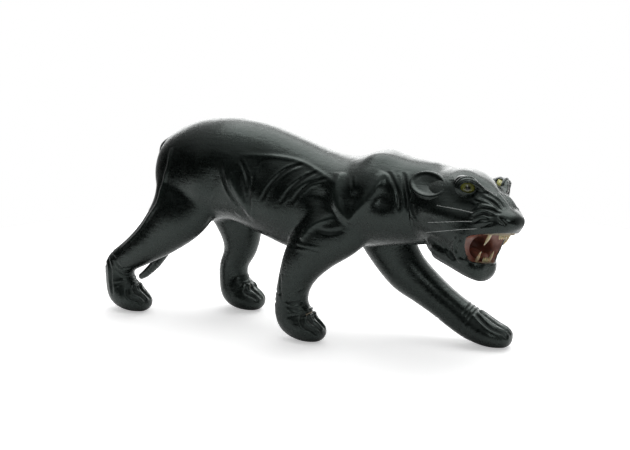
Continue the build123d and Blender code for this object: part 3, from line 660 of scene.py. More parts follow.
def leather_group() -> bpy.types.ShaderNodeTree:
    """Pattern of lacquered leather: grain, dragged streaks, wrinkles, ridges rubbed lighter and
    painted shade in the creases.
    """
    paint, entry, leave = pattern_group("leather_skin", ("Dark", "Rubbed"), ("Fold", "Pebble"))
    where, fold = entry["Vector"], entry["Fold"]
    pebble = paint.node("ShaderNodeTexVoronoi", feature="SMOOTH_F1")
    paint.join(where, pebble.inputs["Vector"])
    paint.join(entry["Pebble"], pebble.inputs["Scale"])
    pebble.inputs["Smoothness"].default_value = 0.4
    dragged = paint.stretched(where, (45.0, 260.0, 420.0), (0.0, 20.0, 0.0))
    streaks = paint.noise(dragged, 1.0, 3.0, 0.4)
    wrinkles = paint.noise(where, 150.0, 4.0, 0.8)
    clouds = paint.noise(where, 22.0, 3.0)
    ridge = paint.spread(fold, 0.1, 1.4, 0.0, 0.75)
    # Creases pull the colour towards the dark tone: painted shade in the folds of the leather.
    crease = paint.spread(fold, -0.1, -1.2, 0.0, 1.0)
    wear_and_crease_shade = paint.math("ADD", paint.spread(clouds, 0.42, 0.72, 0.0, 0.35), ridge)
    wear_and_crease_shade = paint.math("ADD", wear_and_crease_shade, paint.spread(streaks, 0.55, 0.75, 0.0, 0.35))
    wear_and_crease_shade = paint.math("SUBTRACT", wear_and_crease_shade, crease)
    share = paint.spread(wear_and_crease_shade, 0.0, 1.0, 0.0, 1.0)
    paint.join(paint.blend(share, entry["Dark"], entry["Rubbed"]), leave["Color"])
    rough = paint.spread(wrinkles, 0.3, 0.7, 0.2, 0.34)
    rough = paint.math("ADD", rough, paint.math("MULTIPLY", crease, 0.2))
    rough = paint.math("SUBTRACT", rough, paint.math("MULTIPLY", ridge, 0.06))
    paint.join(rough, leave["Roughness"])
    height = paint.math("MULTIPLY", pebble.outputs["Distance"], 0.35)
    height = paint.math("ADD", height, paint.math("MULTIPLY", wrinkles, 1.3))
    height = paint.math("ADD", height, paint.math("MULTIPLY", streaks, 0.9))
    paint.join(height, leave["Height"])
    return paint.tree


def wear_group() -> bpy.types.ShaderNodeTree:
    """Pattern of plain finishes: cloudy colour, uneven gloss and a fine surface."""
    paint, entry, leave = pattern_group("handled_surface", ("Color", "Second"), ("Rough", "Scale"))
    cloud = paint.noise(entry["Vector"], entry["Scale"], 4.0)
    share = paint.spread(cloud, 0.35, 0.65, 0.0, 1.0)
    paint.join(paint.blend(share, entry["Color"], entry["Second"]), leave["Color"])
    uneven = paint.spread(cloud, 0.3, 0.7, -0.06, 0.06)
    paint.join(paint.math("ADD", entry["Rough"], uneven), leave["Roughness"])
    paint.join(cloud, leave["Height"])
    return paint.tree


def patterned(
    name: str, group: bpy.types.ShaderNodeTree, relief: float, inputs: dict[str, object],
    constants: dict[str, object],
) -> bpy.types.Material:
    """Material that takes its colour, roughness and relief from a shared pattern.

    Args:
        name: name of the material.
        group: the pattern.
        relief: height of the pattern, in metres.
        inputs: what the pattern is given.
        constants: what is set on the shader itself.

    Returns:
        The material.
    """
    material, paint, shader = blank_material(name)
    place = paint.node("ShaderNodeTexCoord")
    pattern = paint.node("ShaderNodeGroup", node_tree=group)
    paint.join(place.outputs["Object"], pattern.inputs["Vector"])
    if "Fold" in pattern.inputs:
        fold = paint.node("ShaderNodeAttribute", attribute_name=FOLD_NOTE)
        paint.join(fold.outputs["Fac"], pattern.inputs["Fold"])
    for label, value in inputs.items():
        paint.feed(pattern.inputs[label], value)
    paint.join(pattern.outputs["Color"], shader.inputs["Base Color"])
    paint.join(pattern.outputs["Roughness"], shader.inputs["Roughness"])
    bump = paint.node("ShaderNodeBump")
    bump.inputs["Strength"].default_value = 1.0
    bump.inputs["Distance"].default_value = relief
    paint.join(pattern.outputs["Height"], bump.inputs["Height"])
    paint.join(bump.outputs["Normal"], shader.inputs["Normal"])
    for label, value in constants.items():
        paint.feed(shader.inputs[label], value)
    return material


@dataclass(frozen=True)
class Leather:
    """Lacquered leather with ridges rubbed lighter and painted shade in its creases."""

    name: str
    dark: Point = (0.0022, 0.0034, 0.0028)
    rubbed: Point = (0.011, 0.0155, 0.0135)
    grain: Grain = Grain.BODY
    relief: float = 0.00022
    tint: Point = (0.82, 1.0, 0.93)

    def made(self, group: bpy.types.ShaderNodeTree) -> bpy.types.Material:
        """Material with the leather pattern in it."""
        return patterned(
            self.name, group, self.relief,
            {"Dark": self.dark, "Rubbed": self.rubbed, "Pebble": self.grain.value},
            {"Specular IOR Level": 0.5, "Specular Tint": self.tint, "Coat Weight": 0.2,
             "Coat Roughness": 0.3},
        )


@dataclass(frozen=True)
class Surface:
    """Plain finish with clouded colour and gloss."""

    name: str
    colour: Point
    second: Point
    rough: float
    scale: float = 250.0
    metal: float = 0.0
    relief: float = 0.0001
    sheen: float = 0.0
    clear: float = 0.0
    soft: float = 0.0

    def made(self, group: bpy.types.ShaderNodeTree) -> bpy.types.Material:
        """Material with the handled-surface pattern in it."""
        return patterned(
            self.name, group, self.relief,
            {"Color": self.colour, "Second": self.second, "Rough": self.rough,
             "Scale": self.scale},
            {"Metallic": self.metal, "Sheen Weight": self.sheen,
             "Transmission Weight": self.clear, "Subsurface Weight": self.soft,
             "Subsurface Scale": 0.002},
        )


@dataclass(frozen=True)
class Iris:
    """Painted iris behind the glass of one eye."""

    name: str
    side: int
    radius: float = 8.0  # of the glass, in millimetres
    rings: tuple = (  # share of that radius, and colour
        (0.0, (0.004, 0.004, 0.003)),
        (0.2425, (0.008, 0.009, 0.004)),
        (0.3025, (0.10, 0.11, 0.03)),
        (0.52, (0.20, 0.21, 0.05)),
        (0.70, (0.34, 0.36, 0.06)),
        # This bright yellow ring is partly the iris's own colour and partly painted light, the
        # glow that the glass gathers at its rim.
        (0.825, (0.60, 0.60, 0.09)),
        (0.97, (0.35, 0.34, 0.05)),
    )

    def made(self) -> bpy.types.Material:
        """Rings of colour round the line of sight of the eye, the bright outer one partly painted
        light.
        """
        material, paint, shader = blank_material(self.name)
        place = paint.node("ShaderNodeTexCoord")
        sight = sight_place(self.side)
        centre = (sight.translation + STAND) * MM
        along = sight.to_3x3() @ Vector((0.0, 0.0, 1.0))
        away = paint.node("ShaderNodeVectorMath", operation="SUBTRACT")
        paint.join(place.outputs["Object"], away.inputs[0])
        away.inputs[1].default_value = centre
        across = paint.node("ShaderNodeVectorMath", operation="CROSS_PRODUCT")
        paint.join(away.outputs[0], across.inputs[0])
        across.inputs[1].default_value = along
        length = paint.node("ShaderNodeVectorMath", operation="LENGTH")
        paint.join(across.outputs[0], length.inputs[0])
        radius = paint.math("MULTIPLY", length.outputs["Value"], 1.0 / (self.radius * MM))
        fibre = paint.noise(place.outputs["Object"], 900.0, 3.0)
        ragged = paint.math("ADD", radius, paint.spread(fibre, 0.3, 0.7, -0.05, 0.05))
        ramp = paint.node("ShaderNodeValToRGB")
        paint.join(ragged, ramp.inputs["Fac"])
        bar = ramp.color_ramp
        while len(bar.elements) < len(self.rings):
            bar.elements.new(0.5)
        for element, (spot, colour) in zip(bar.elements, self.rings):
            element.position = spot
            element.color = (*colour, 1.0)
        paint.join(ramp.outputs["Color"], shader.inputs["Base Color"])
        paint.join(paint.spread(fibre, 0.3, 0.7, 0.3, 0.45), shader.inputs["Roughness"])
        return material


def blank_material(
    name: str,
) -> tuple[bpy.types.Material, Painter, bpy.types.ShaderNodeBsdfPrincipled]:
    """New material with a Principled shader joined to its output."""
    material = bpy.data.materials.new(name)
    material.use_nodes = True
    tree = material.node_tree
    shader = tree.nodes["Principled BSDF"]
    return material, Painter(tree), shader


def sight_place(side: int) -> Matrix:
    """Place of an eye with Z along its line of sight."""
    return FACE @ turned((0.0, side * 23.0, 0.0), z=side * 34.0) @ SECTION


# ------------------------------------------------------------------------- panels
SKIN_NORMAL = "skin_normal"
ON_SKIN = 0.35  # a face that turns further from the skin is the edge of a panel


def keep_normals(piece: bpy.types.Object) -> None:
    """Note the smooth normals of a whole skin, so that its panels meet without a step."""
    mesh = piece.data
    note = mesh.attributes.new(SKIN_NORMAL, "FLOAT_VECTOR", "POINT")
    note.data.foreach_set("vector", directions(mesh).ravel())


def soften(piece: bpy.types.Object) -> None:
    """Shade a panel with the normals of the whole skin and its cut edges flat."""
    mesh = piece.data
    note = mesh.attributes.get(SKIN_NORMAL)
    kept = read(note.data, "vector", 3)
    corners = read(mesh.loops, "vertex_index", 1, np.int64).ravel()
    counts = read(mesh.polygons, "loop_total", 1, np.int64).ravel()
    flat = np.repeat(read(mesh.polygons, "normal", 3), counts, axis=0)
    smooth = kept[corners]
    lengths = np.linalg.norm(smooth, axis=1, keepdims=True)
    smooth = np.where(lengths > 0.1, smooth / np.maximum(lengths, 1e-9), 0.0)
    facing = (smooth * flat).sum(axis=1)[:, None]
    normals = np.where(
        facing > ON_SKIN, smooth, np.where(facing < -ON_SKIN, -smooth, flat)
    )
    mesh.attributes.remove(note)
    mesh.shade_smooth()
    mesh.normals_split_custom_set(normals.tolist())


def sliced(mesh: bmesh.types.BMesh, at: Vector, normal: Vector, faces: Optional[list] = None,
           drop_ahead: bool = False) -> set[bmesh.types.BMEdge]:
    """Cut a skin along a plane.

    Args:
        mesh: the skin.
        at: a point of the plane.
        normal: its direction.
        faces: the faces to cut, or all of them.
        drop_ahead: whether what lies ahead of the plane is removed.

    Returns:
        The edges that lie on the cut.
    """
    chosen = list(mesh.faces) if faces is None else faces
    edges = {edge for face in chosen for edge in face.edges}
    verts = {vert for face in chosen for vert in face.verts}
    result = bmesh.ops.bisect_plane(
        mesh, geom=[*verts, *edges, *chosen], dist=1e-5, plane_co=at, plane_no=normal,
        clear_outer=drop_ahead, clear_inner=False,
    )
    return {item for item in result["geom_cut"] if isinstance(item, bmesh.types.BMEdge)}


def flooded(start: bmesh.types.BMFace, walls: set[bmesh.types.BMEdge]) -> set[bmesh.types.BMFace]:
    """Faces that can be reached from one without crossing a cut."""
    found, edge_of_search = {start}, [start]
    while edge_of_search:
        face = edge_of_search.pop()
        for edge in face.edges:
            if edge in walls:
                continue
            for other in edge.link_faces:
                if other not in found:
                    found.add(other)
                    edge_of_search.append(other)
    return found


def split_panels(
    name: str, mesh: bmesh.types.BMesh, panels: dict[str, int], wall: float
) -> dict[str, bpy.types.Object]:
    """Part a skin into panels by the material index of its faces.

    Args:
        name: start of the panels' names.
        mesh: the skin, which is freed.
        panels: the index of each panel.
        wall: thickness of the leather.

    Returns:
        The finished panels by name.
    """
    pieces = {}
    for panel, index in panels.items():
        part = mesh.copy()
        away = [face for face in part.faces if face.material_index != index]
        bmesh.ops.delete(part, geom=away, context="FACES")
        for face in part.faces:
            face.material_index = 0
        piece = new_object(f"{name}{panel}", part)
        hide = piece.modifiers.new("hide", "SOLIDIFY")
        hide.thickness = wall
        hide.offset = -1.0
        hide.use_rim = True
        pieces[panel] = settled(piece)
    mesh.free()
    return pieces


def finished(
    piece: bpy.types.Object,
    material: bpy.types.Material,
    slot: str,
    *nodes: str,
    body: str = BODY,
) -> None:
    """Set a piece in the scene, paint it and tie it to the model.

    Args:
        piece: an object in millimetres.
        material: its finish.
        slot: the record's slot that the finish belongs to; not used.
        nodes: the nodes that the piece stands for.
        body: the body that carries it.
    """
    mesh = piece.data
    points = (coordinates(mesh) + np.array(STAND)) * MM
    kept = mesh.attributes.get(SKIN_NORMAL) is not None
    mesh.vertices.foreach_set("co", points.ravel())
    mesh.update()
    if kept:
        soften(piece)
    else:
        mesh.shade_smooth()
    mesh.materials.clear()
    mesh.materials.append(material)
    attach(piece, body)
    if nodes:
        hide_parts(*nodes)
    LOG.info("%s: %d faces", piece.name, len(mesh.polygons))


# --------------------------------------------------------------------------- body
TOE_GROOVES = (-40.0, -8.0, 26.0, 58.0)  # angles round the paw
TOE_TIP = Vector((6.0, 0.0, -5.0))  # how far a groove runs on past the last rib
ANKLE_WRINKLES = ((5.1, 10.0), (5.35, 0.0), (5.6, -8.0))  # station and angle
KNEE_WRINKLES = ((3.6, 150.0), (4.2, 170.0))


def leg_folds(name: str) -> list[Fold]:
    """Grooves between the toes, and wrinkles at the ankle and behind the knee, of one leg."""
    ribs = LEGS[name]
    side = -1 if name.endswith("right") else 1
    shapes = []
    for angle in TOE_GROOVES:
        spots = [(5.7, angle * 0.7), (6.3, angle * 0.9), (7.0, angle), (7.6, angle), (8.0, angle)]
        line = on_limb(ribs, spots, side)
        tip = tuple(Vector(line[-1]) + TOE_TIP)
        shapes.append(Fold((*line, tip), -1.7, 1.5, 1.1))
    for start, angle in ANKLE_WRINKLES:
        spots = [(start + 0.1, angle - 75), (start, angle - 30), (start, angle + 30),
                 (start + 0.12, angle + 80)]
        shapes.append(Fold(on_limb(ribs, spots, side), -1.0, 1.3, 0.5))
    for start, angle in KNEE_WRINKLES:
        spots = [(start, angle - 45), (start + 0.1, angle), (start, angle + 45)]
        shapes.append(Fold(on_limb(ribs, spots, side), -0.7, 1.4, 0.3))
    return shapes


@dataclass
class BodySkin:
    """Leather over the body shells and the four legs."""

    coarse: float = 2.2  # cells of the first skin
    cell: float = 1.3  # cells of the final skin
    strokes: int = 9
    wall: float = 1.6
    toe: float = 7.0  # length of the rounded end of a paw
    collar_behind: float = 90.0  # the collar's cut reaches only what is ahead of this
    collar_below: float = 80.0  # and above this
    leg_reach: float = 46.0  # how far the cut of a leg's seam reaches
    paw_height: float = 30.0  # a height well under the seam of each leg
    pad_reach: float = 45.0  # longer than half a paw
    pad_depth: float = 9.0  # higher than a felt pad
    seams: dict[str, float] = field(default_factory=lambda: {
        "hind_right": 2.0, "hind_left": 2.3, "front_right": 2.3, "front_left": 2.0,
    })
    swells: tuple = (  # hollows and humps of the shoulder, the flank, the haunch and the withers
        Swell((24, -42, 152), (12.0, 12, 11.5), -5.6),
        Swell((62, -45, 156), (8, 10, 9), -3.4),
        Swell((92, -40, 157), (10, 11, 11), -4.4),
        Swell((63, -40, 112), (9, 12, 10), -1.4),
        Swell((-90, -46, 155), (12, 10, 18), -2.5),
        Swell((-136, -40, 160), (10, 12, 26), -1.0),
        Swell((-112, -44, 160), (10, 12, 30), 1.5),
        Swell((-42, -42, 176), (12, 12, 14), -2.5),
        Swell((-28, -42, 128), (26, 14, 20), 2.0),
        Swell((74, -14, 192), (20, 12, 8), 2.5),
    )
    ridges: tuple = (  # edges of muscles, with one crease between two of them
        Fold(((43, -29, 176), (44, -39, 163), (46, -44, 150), (52, -44, 139), (61, -41, 132)),
             3.2, 5.0),
        Fold(((90, -30, 180), (85, -39, 169), (77, -45, 155), (66, -43, 139), (59, -42, 130)),
             3.2, 5.0),
        Fold(((10, -47, 110), (19, -46, 122), (32, -46, 131), (45, -44, 136)), 2.4, 3.5),
        Fold(((28, -48, 122), (41, -48, 121), (53, -44, 124)), -1.3, 2.4),
        Fold(((-72, -43, 168), (-64, -43, 150), (-55, -42, 134), (-48, -40, 120)), 2.2, 4.5),
        Fold(((-149, -31, 185), (-149, -38, 168), (-156, -39, 147), (-160, -44, 129),
              (-173, -43, 112), (-190, -43, 92), (-211, -41, 73)), 1.8, 2.4),
        Fold(((-64, -37, 185), (-33, -32, 186), (-2, -28, 183), (21, -31, 175), (44, -38, 166)),
             1.2, 2.2),
    )
    creases: tuple = (  # wrinkles of the flank, the shoulder and the neck
        Fold(((-83, -41, 180), (-79, -44, 162), (-74, -44, 149), (-66, -42, 137), (-61, -42, 132)),
             -1.5, 1.5, 0.7),
        Fold(((-62, -39, 181), (-54, -42, 167), (-51, -44, 153), (-50, -43, 138), (-52, -40, 125)),
             -1.4, 1.5, 0.6),
        Fold(((-87, -45, 162), (-90, -44, 149), (-100, -41, 137)), -1.2, 1.5, 0.5),
        Fold(((-70, -41, 132), (-68, -38, 124), (-64, -37, 120)), -1.2, 1.3, 0.5),
        Fold(((3, -29, 181), (-10, -34, 176), (-20, -38, 168), (-30, -42, 156), (-36, -43, 143)),
             -1.2, 1.5, 0.8),
        Fold(((19, -31, 175), (5, -37, 167), (-7, -41, 156), (-15, -42, 143)), -1.2, 1.5, 0.8),
        Fold(((30, -34, 170), (14, -38, 164), (3, -41, 154), (-3, -42, 144)), -1.2, 1.5, 0.8),
        Fold(((-40, -35, 182), (-45, -41, 171), (-47, -43, 157), (-49, -43, 143)),
             -0.9, 1.4, 0.4),
        Fold(((57, -34, 175), (61, -42, 163), (64, -45, 149), (62, -43, 138)), -1.0, 1.5, 0.4),
        Fold(((92, -29, 181), (103, -36, 169), (108, -37, 152), (106, -30, 131)),
             -1.4, 1.6, 0.9),
        Fold(((106, -25, 181), (112, -33, 168), (116, -34, 150), (113, -26, 130)),
             -1.6, 1.7, 1.0),
        Fold(((4, -47, 103), (20, -48, 103), (33, -48, 101)), -1.0, 1.5, 0.5),
    )
    hocks: tuple = (  # wrinkles of the right legs alone
        Fold(((-228, -39, 61), (-224, -43, 52), (-223, -44, 37), (-220, -46, 23)),
             -1.3, 1.6, 0.8),
        Fold(((-215, -44, 60), (-209, -42, 53), (-199, -39, 54)), -0.9, 1.2, 0.5),
        Fold(((-216, -43, 53), (-208, -40, 46), (-203, -31, 47)), -0.9, 1.2, 0.5),
        Fold(((-8, -48, 47), (0, -46, 45), (8, -40, 46)), -1.1, 1.3, 0.6),
        Fold(((5, -45, 54), (11, -42, 59)), -1.2, 1.4, 0.5),
        Fold(((-6, -48, 42), (4, -46, 38), (9, -42, 41)), -1.1, 1.3, 0.6),
        Fold(((-14, -45, 71), (-14, -47, 56), (-12, -48, 47)), -0.8, 1.4, 0.4),
    )

    def sculpt(self) -> bpy.types.Object:
        """One closed skin of the body, in millimetres."""
        clay = Clay()
        clay.limb(TORSO)
        clay.limb(HEAD_AND_NECK, FACE)
        for ribs in LEGS.values():
            clay.limb(ribs)
            toe = ribs[-1]
            clay.ball((toe.x, toe.y, toe.z), (self.toe, toe.half_width - 1, toe.half_height - 1))
        skin = clay.merged("body_skin", self.coarse, self.strokes)
        remeshed(skin, self.cell, 2)
        press(skin, both_sides(self.swells), mark=False)
        folds = both_sides(self.ridges + self.creases) + list(self.hocks)
        for name in LEGS:
            folds += leg_folds(name)
        press(skin, folds)
        return skin

    def panels(self, skin: bpy.types.Object) -> tuple[dict, dict]:
        """Cut the skin into its panels and sole pads.

        Args:
            skin: the closed skin, which is used up.

        Returns:
            The leather panels and the sole pads by name.
        """
        keep_normals(skin)
        mesh = bmesh.new()
        mesh.from_mesh(skin.data)
        collar = NECK.place()
        neck = [face for face in mesh.faces
                if face.calc_center_median().z > self.collar_below
                and face.calc_center_median().x > self.collar_behind]
        sliced(mesh, collar.translation, collar.to_3x3() @ Vector((0, 0, 1)), neck, True)
        pads = {name: self.pad(mesh, name) for name in LEGS}
        sliced(mesh, Vector((0, 0, FLOOR + SOLE_PAD)), Vector((0, 0, -1)), drop_ahead=True)
        sliced(mesh, Vector((0, 0, 0)), Vector((0, 1, 0)))
        index = {"torso_right": 0, "torso_left": 1}
        for face in mesh.faces:
            face.material_index = int(face.calc_center_median().y > 0)
        for name, station in self.seams.items():
            index[f"leg_{name}"] = len(index)
            self.mark_leg(mesh, name, station, index[f"leg_{name}"])
        discard(skin)
        return split_panels("leather_", mesh, index, self.wall), pads

    def mark_leg(self, mesh: bmesh.types.BMesh, name: str, station: float, index: int) -> None:
        """Cut a ring round a leg and mark everything below it."""
        ribs = LEGS[name]
        place = between(ribs, station).place()
        at, along = place.translation, place.to_3x3() @ Vector((0, 0, 1))
        near = [face for face in mesh.faces
                if (face.calc_center_median() - at).length < self.leg_reach
                and face.calc_center_median().y * at.y > 0]
        walls = sliced(mesh, at, along, near)
        walls = {edge for edge in mesh.edges if edge.is_valid and edge in walls}
        paw = Vector((ribs[-2].x, ribs[-2].y, self.paw_height))
        start = min(mesh.faces, key=lambda face: (face.calc_center_median() - paw).length)
        for face in flooded(start, walls):
            face.material_index = index

    def pad(self, mesh: bmesh.types.BMesh, name: str) -> bpy.types.Object:
        """Felt pad cut from the sole of one paw."""
        paw = LEGS[name][-2]
        slab = mesh.copy()
        away = [face for face in slab.faces
                if face.calc_center_median().z > FLOOR + self.pad_depth
                or abs(face.calc_center_median().x - paw.x) > self.pad_reach
                or face.calc_center_median().y * paw.y < 0]
        bmesh.ops.delete(slab, geom=away, context="FACES")
        for height, way in ((FLOOR + SOLE_PAD, 1), (FLOOR, -1)):
            edges = sliced(slab, Vector((0, 0, height)), Vector((0, 0, way)), drop_ahead=True)
            bmesh.ops.holes_fill(slab, edges=list(edges), sides=0)
        bmesh.ops.recalc_face_normals(slab, faces=list(slab.faces))
        return new_object(f"felt_{name}", slab)


# --------------------------------------------------------------------------- head
neck_at = FACE_BACK @ NECK.place().translation
HEAD_AND_NECK = (
    Rib(*neck_at, -2.0, NECK.half_width, NECK.half_height, turn=-12.0),
    *HEAD,
)
MOUTH = rib_rows(
    (-11, 0, -53, 0, 6, 4.5), (-7, 0, -53, 0, 10, 7.5), (1, 0, -53.5, 0, 13, 10),
    (7, 0, -53.5, 0, 15, 11.2), (9, 0, -53.3, 0, 24, 12.2), (13, 0, -52.8, 0, 48, 13),
    (26, 0, -50.5, 0, 60, 14.5), (45, 0, -49, 0, 60, 17), (65, 0, -48, 0, 60, 19),
)


@dataclass
class HeadSkin:
    """Leather over the skull, the jaw and the lining of the mouth."""

    coarse: float = 1.5  # cells of the first skin
    cell: float = 1.0  # cells of the final skin
    wall: float = 1.3
    lip: float = 1.7  # leather that turns into the mouth
    socket: float = 8.6
    nose_start: float = 36.5
    gape: Point = (0.42, 0.0, -0.91)  # square to the cut between skull and jaw
    hinge: float = -52.0  # height of that cut under the eyes
    mouth: tuple = ((-16, 42), (-75, -30))  # reach of the mouth ahead and up, past the eyes
    tubes: tuple = (  # points on the left side, and radii
        (((-15, 21, 3), (-7, 23.5, 5), (2, 22, 5.5), (9, 17, 3), (16, 11, -2)),
         (3.0, 4.6, 4.4, 3.0, 1.8)),  # brow
        (((4, 25, -42.5), (14, 22.5, -41), (26, 17.5, -38.5), (34, 9, -37), (37, 0, -36.5)),
         (2.2, 2.4, 2.4, 2.2, 2.2)),  # upper lip
        (((3, 22, -66), (10, 16, -65.5), (15, 9, -64), (17, 0, -63.5)),
         (2.2, 2.4, 2.2, 2.2)),  # lower lip
        (((4, 25, -42.5), (0, 25, -49), (-1, 24, -57), (3, 22, -66)),
         (2.2, 2.6, 2.6, 2.2)),  # corner of the mouth
    )
    nostril: tuple = (
        ((33, 18.6, -17), (38.2, 16.0, -20), (43, 13.3, -23.5), (45.3, 11, -26.5)),
        (1.2, 1.8, 2.3, 1.2),
    )
    swells: tuple = (
        Swell((1, -29, -15), (9, 8, 7), -1.6, True),
        Swell((-14, -31, -9), (9, 8, 9), -1.6, True),
        Swell((10, -24, -15), (6, 6, 6), -1.2, True),
        Swell((-5, -32, -26), (16, 8, 7), 1.2, True),
        Swell((24, -20, -27), (9, 7, 7), 1.5, True),
        Swell((-22, -34, -32), (14, 9, 10), 1.5, True),
        Swell((-24, -34, -40), (12, 9, 7), -1.5, True),
        Swell((-8, -8, 10), (16, 6, 8), 1.0, True),
        Swell((12, -8, 1), (11, 8, 8), -1.3, True),
        Swell((30, -5, -9), (8, 6, 5), 1.0, True),
    )
    folds: tuple = (
        Fold(((13, -25, -21), (18, -22, -15), (27, -17, -15), (36, -13, -17)), -1.2, 1.3, 1.2,
             True),
        Fold(((12, -25, -25), (18, -24, -22), (25, -21, -19), (32, -18, -20)), -1.4, 1.4, 1.1,
             True),
        Fold(((18, -24, -28), (24, -22, -24), (30, -20, -24)), -1.4, 1.4, 0.8, True),
        Fold(((23, -23, -31), (29, -21, -28), (35, -18, -25)), -1.1, 1.2, 0.7, True),
        Fold(((10, -15, -2), (18, -11, -3), (27, -8, -7), (35, -8, -12)), -0.9, 1.2, 0.8, True),
        Fold(((18, -4, 0), (24, -4, -4), (30, -4, -8), (37, -5, -13)), -0.8, 1.1, 0.7, True),
        Fold(((14, -17, -7), (22, -14, -8), (29, -12, -11), (34, -12, -15)), -0.9, 1.2, 0.7,
             True),
        Fold(((8, -20, -10), (15, -19, -11), (22, -17, -12)), -0.8, 1.1, 0.6, True),
        Fold(((4, -27, -46), (1, -25, -52), (1, -24, -57), (-1, -20, -64)), -1.3, 1.4, 0.9,
             True),
        Fold(((-23, -23, 5), (-12, -26, 9), (-3, -24, 11), (5, -16, 9)), -0.8, 1.2, 0.7, True),
        Fold(((-18, -27, -54), (-15, -25, -57), (-10, -22, -63), (-4, -20, -67)), -1.8, 1.5,
             0.7, True),
        Fold(((-61, -40, -2), (-60, -43, -14), (-57, -41, -27), (-55, -36, -40)), -1.3, 1.7,
             0.9, True),
        Fold(((-50, -38, -26), (-48, -37, -34), (-44, -35, -42)), -1.2, 1.5, 0.7, True),
    )

    def sculpt(self) -> tuple[bpy.types.Object, BVHTree]:
        """The skin of the head with its mouth and sockets open.

        Returns:
            The skin, and the shape of the head before it was cut.
        """
        clay = Clay()
        clay.limb(HEAD_AND_NECK, FACE)
        clay.limb(JAW, FACE)
        clay.limb(TORSO[-4:])
        clay.ball((-31, 0, -56), (25, 26.5, 19.5), FACE)
        for side in SIDES.values():
            for line, radii in self.tubes:
                clay.tube([(x, side * y, z) for x, y, z in line], radii, FACE)
            clay.ball((23, side * 12, -29), (13, 9.5, 8.5), FACE)
        clay.ball((37.5, 0, -23.5), (10.5, 13.0, 9.0), FACE)
        head = clay.merged("head_skin", self.coarse, 5)
        bulk = bmesh.new()
        bulk.from_mesh(head.data)
        whole = BVHTree.FromBMesh(bulk)
        bulk.free()
        clay.limb(MOUTH, FACE)
        tools = [clay.piece("mouth_tool")]
        for side in SIDES.values():
            clay.ball((0, 0, -1.5), (self.socket,) * 3, sight_place(side))
            tools.append(clay.piece("socket_tool"))
            line, radii = self.nostril
            clay.tube([(x, side * y, z) for x, y, z in line], radii, FACE)
            tools.append(remeshed(clay.piece("nostril_tool"), 0.6, 2))
        carved(head, *tools)
        remeshed(head, self.cell, 3)
        press(head, both_sides(self.swells), mark=False)
        press(head, both_sides(self.folds))
        return head, whole

    def panels(self, head: bpy.types.Object, whole: BVHTree) -> dict[str, bpy.types.Object]:
        """Cut the head into its leather panels and the mouth's lining.

        Args:
            head: the skin, which is used up.
            whole: the shape before the mouth was cut.

        Returns:
            The panels by name.
        """
        keep_normals(head)
        mesh = bmesh.new()
        mesh.from_mesh(head.data)
        collar = NECK.place()
        sliced(mesh, collar.translation, collar.to_3x3() @ Vector((0, 0, -1)), drop_ahead=True)
        spin = FACE.to_3x3()
        sliced(mesh, FACE @ Vector((self.nose_start, 0, 0)), spin @ Vector((1, 0, 0)))
        hinge = FACE @ Vector((0, 0, self.hinge))
        drop = spin @ Vector(self.gape)
        (back, front), (bottom, top) = self.mouth
        sliced(mesh, hinge, drop)
        index = {"head": 0, "nose": 1, "jaw": 2, "palate": 3, "mouth_floor": 4}
        for face in mesh.faces:
            middle = face.calc_center_median()
            spot = FACE_BACK @ middle
            below = (middle - hinge).dot(drop) > 0
            inside = back < spot.x < front and bottom < spot.z < top and (
                whole.find_nearest(middle)[3] > self.lip
            )
            if inside:
                face.material_index = index["mouth_floor" if below else "palate"]
            elif spot.x > self.nose_start and not below:
                face.material_index = index["nose"]
            elif below:
                face.material_index = index["jaw"]
            else:
                face.material_index = index["head"]
        discard(head)
        return split_panels("leather_", mesh, index, self.wall)


@dataclass
class Eyes:
    """Rolled leather lids round the glass eyes."""

    cell: float = 0.5
    arch: float = 0.7  # how far the middle of a lid stands out
    tuck: float = 0.9  # how far its corners lie back
    lower_share: float = 0.86  # height of the lower lid, of the upper one's
    rolls: tuple = (  # half width, half height, radius and rise
        (7.6, 6.0, 1.1, 5.0),
        (8.6, 7.4, 1.5, 3.4),
        (9.6, 9.0, 1.8, 1.0),
    )

    def lids(self, side: int, name: str) -> bpy.types.Object:
        """Almond of rolled leather round one eye.

        Args:
            side: -1 for the right eye and 1 for the left.
            name: name of the piece.

        Returns:
            The lids in millimetres.
        """
        clay = Clay()
        for wide, high, radius, proud in self.rolls:
            line = []
            for step in range(17):
                around = step * math.tau / 16
                across, up = math.cos(around), math.sin(around)
                lift = proud + self.arch * abs(up) - self.tuck * abs(across)
                lower = self.lower_share if up < 0 else 1.0
                line.append((wide * across, high * lower * up, lift))
            clay.tube(line, (radius,) * 17, sight_place(side), 12, 2)
        return clay.merged(name, self.cell, 4)


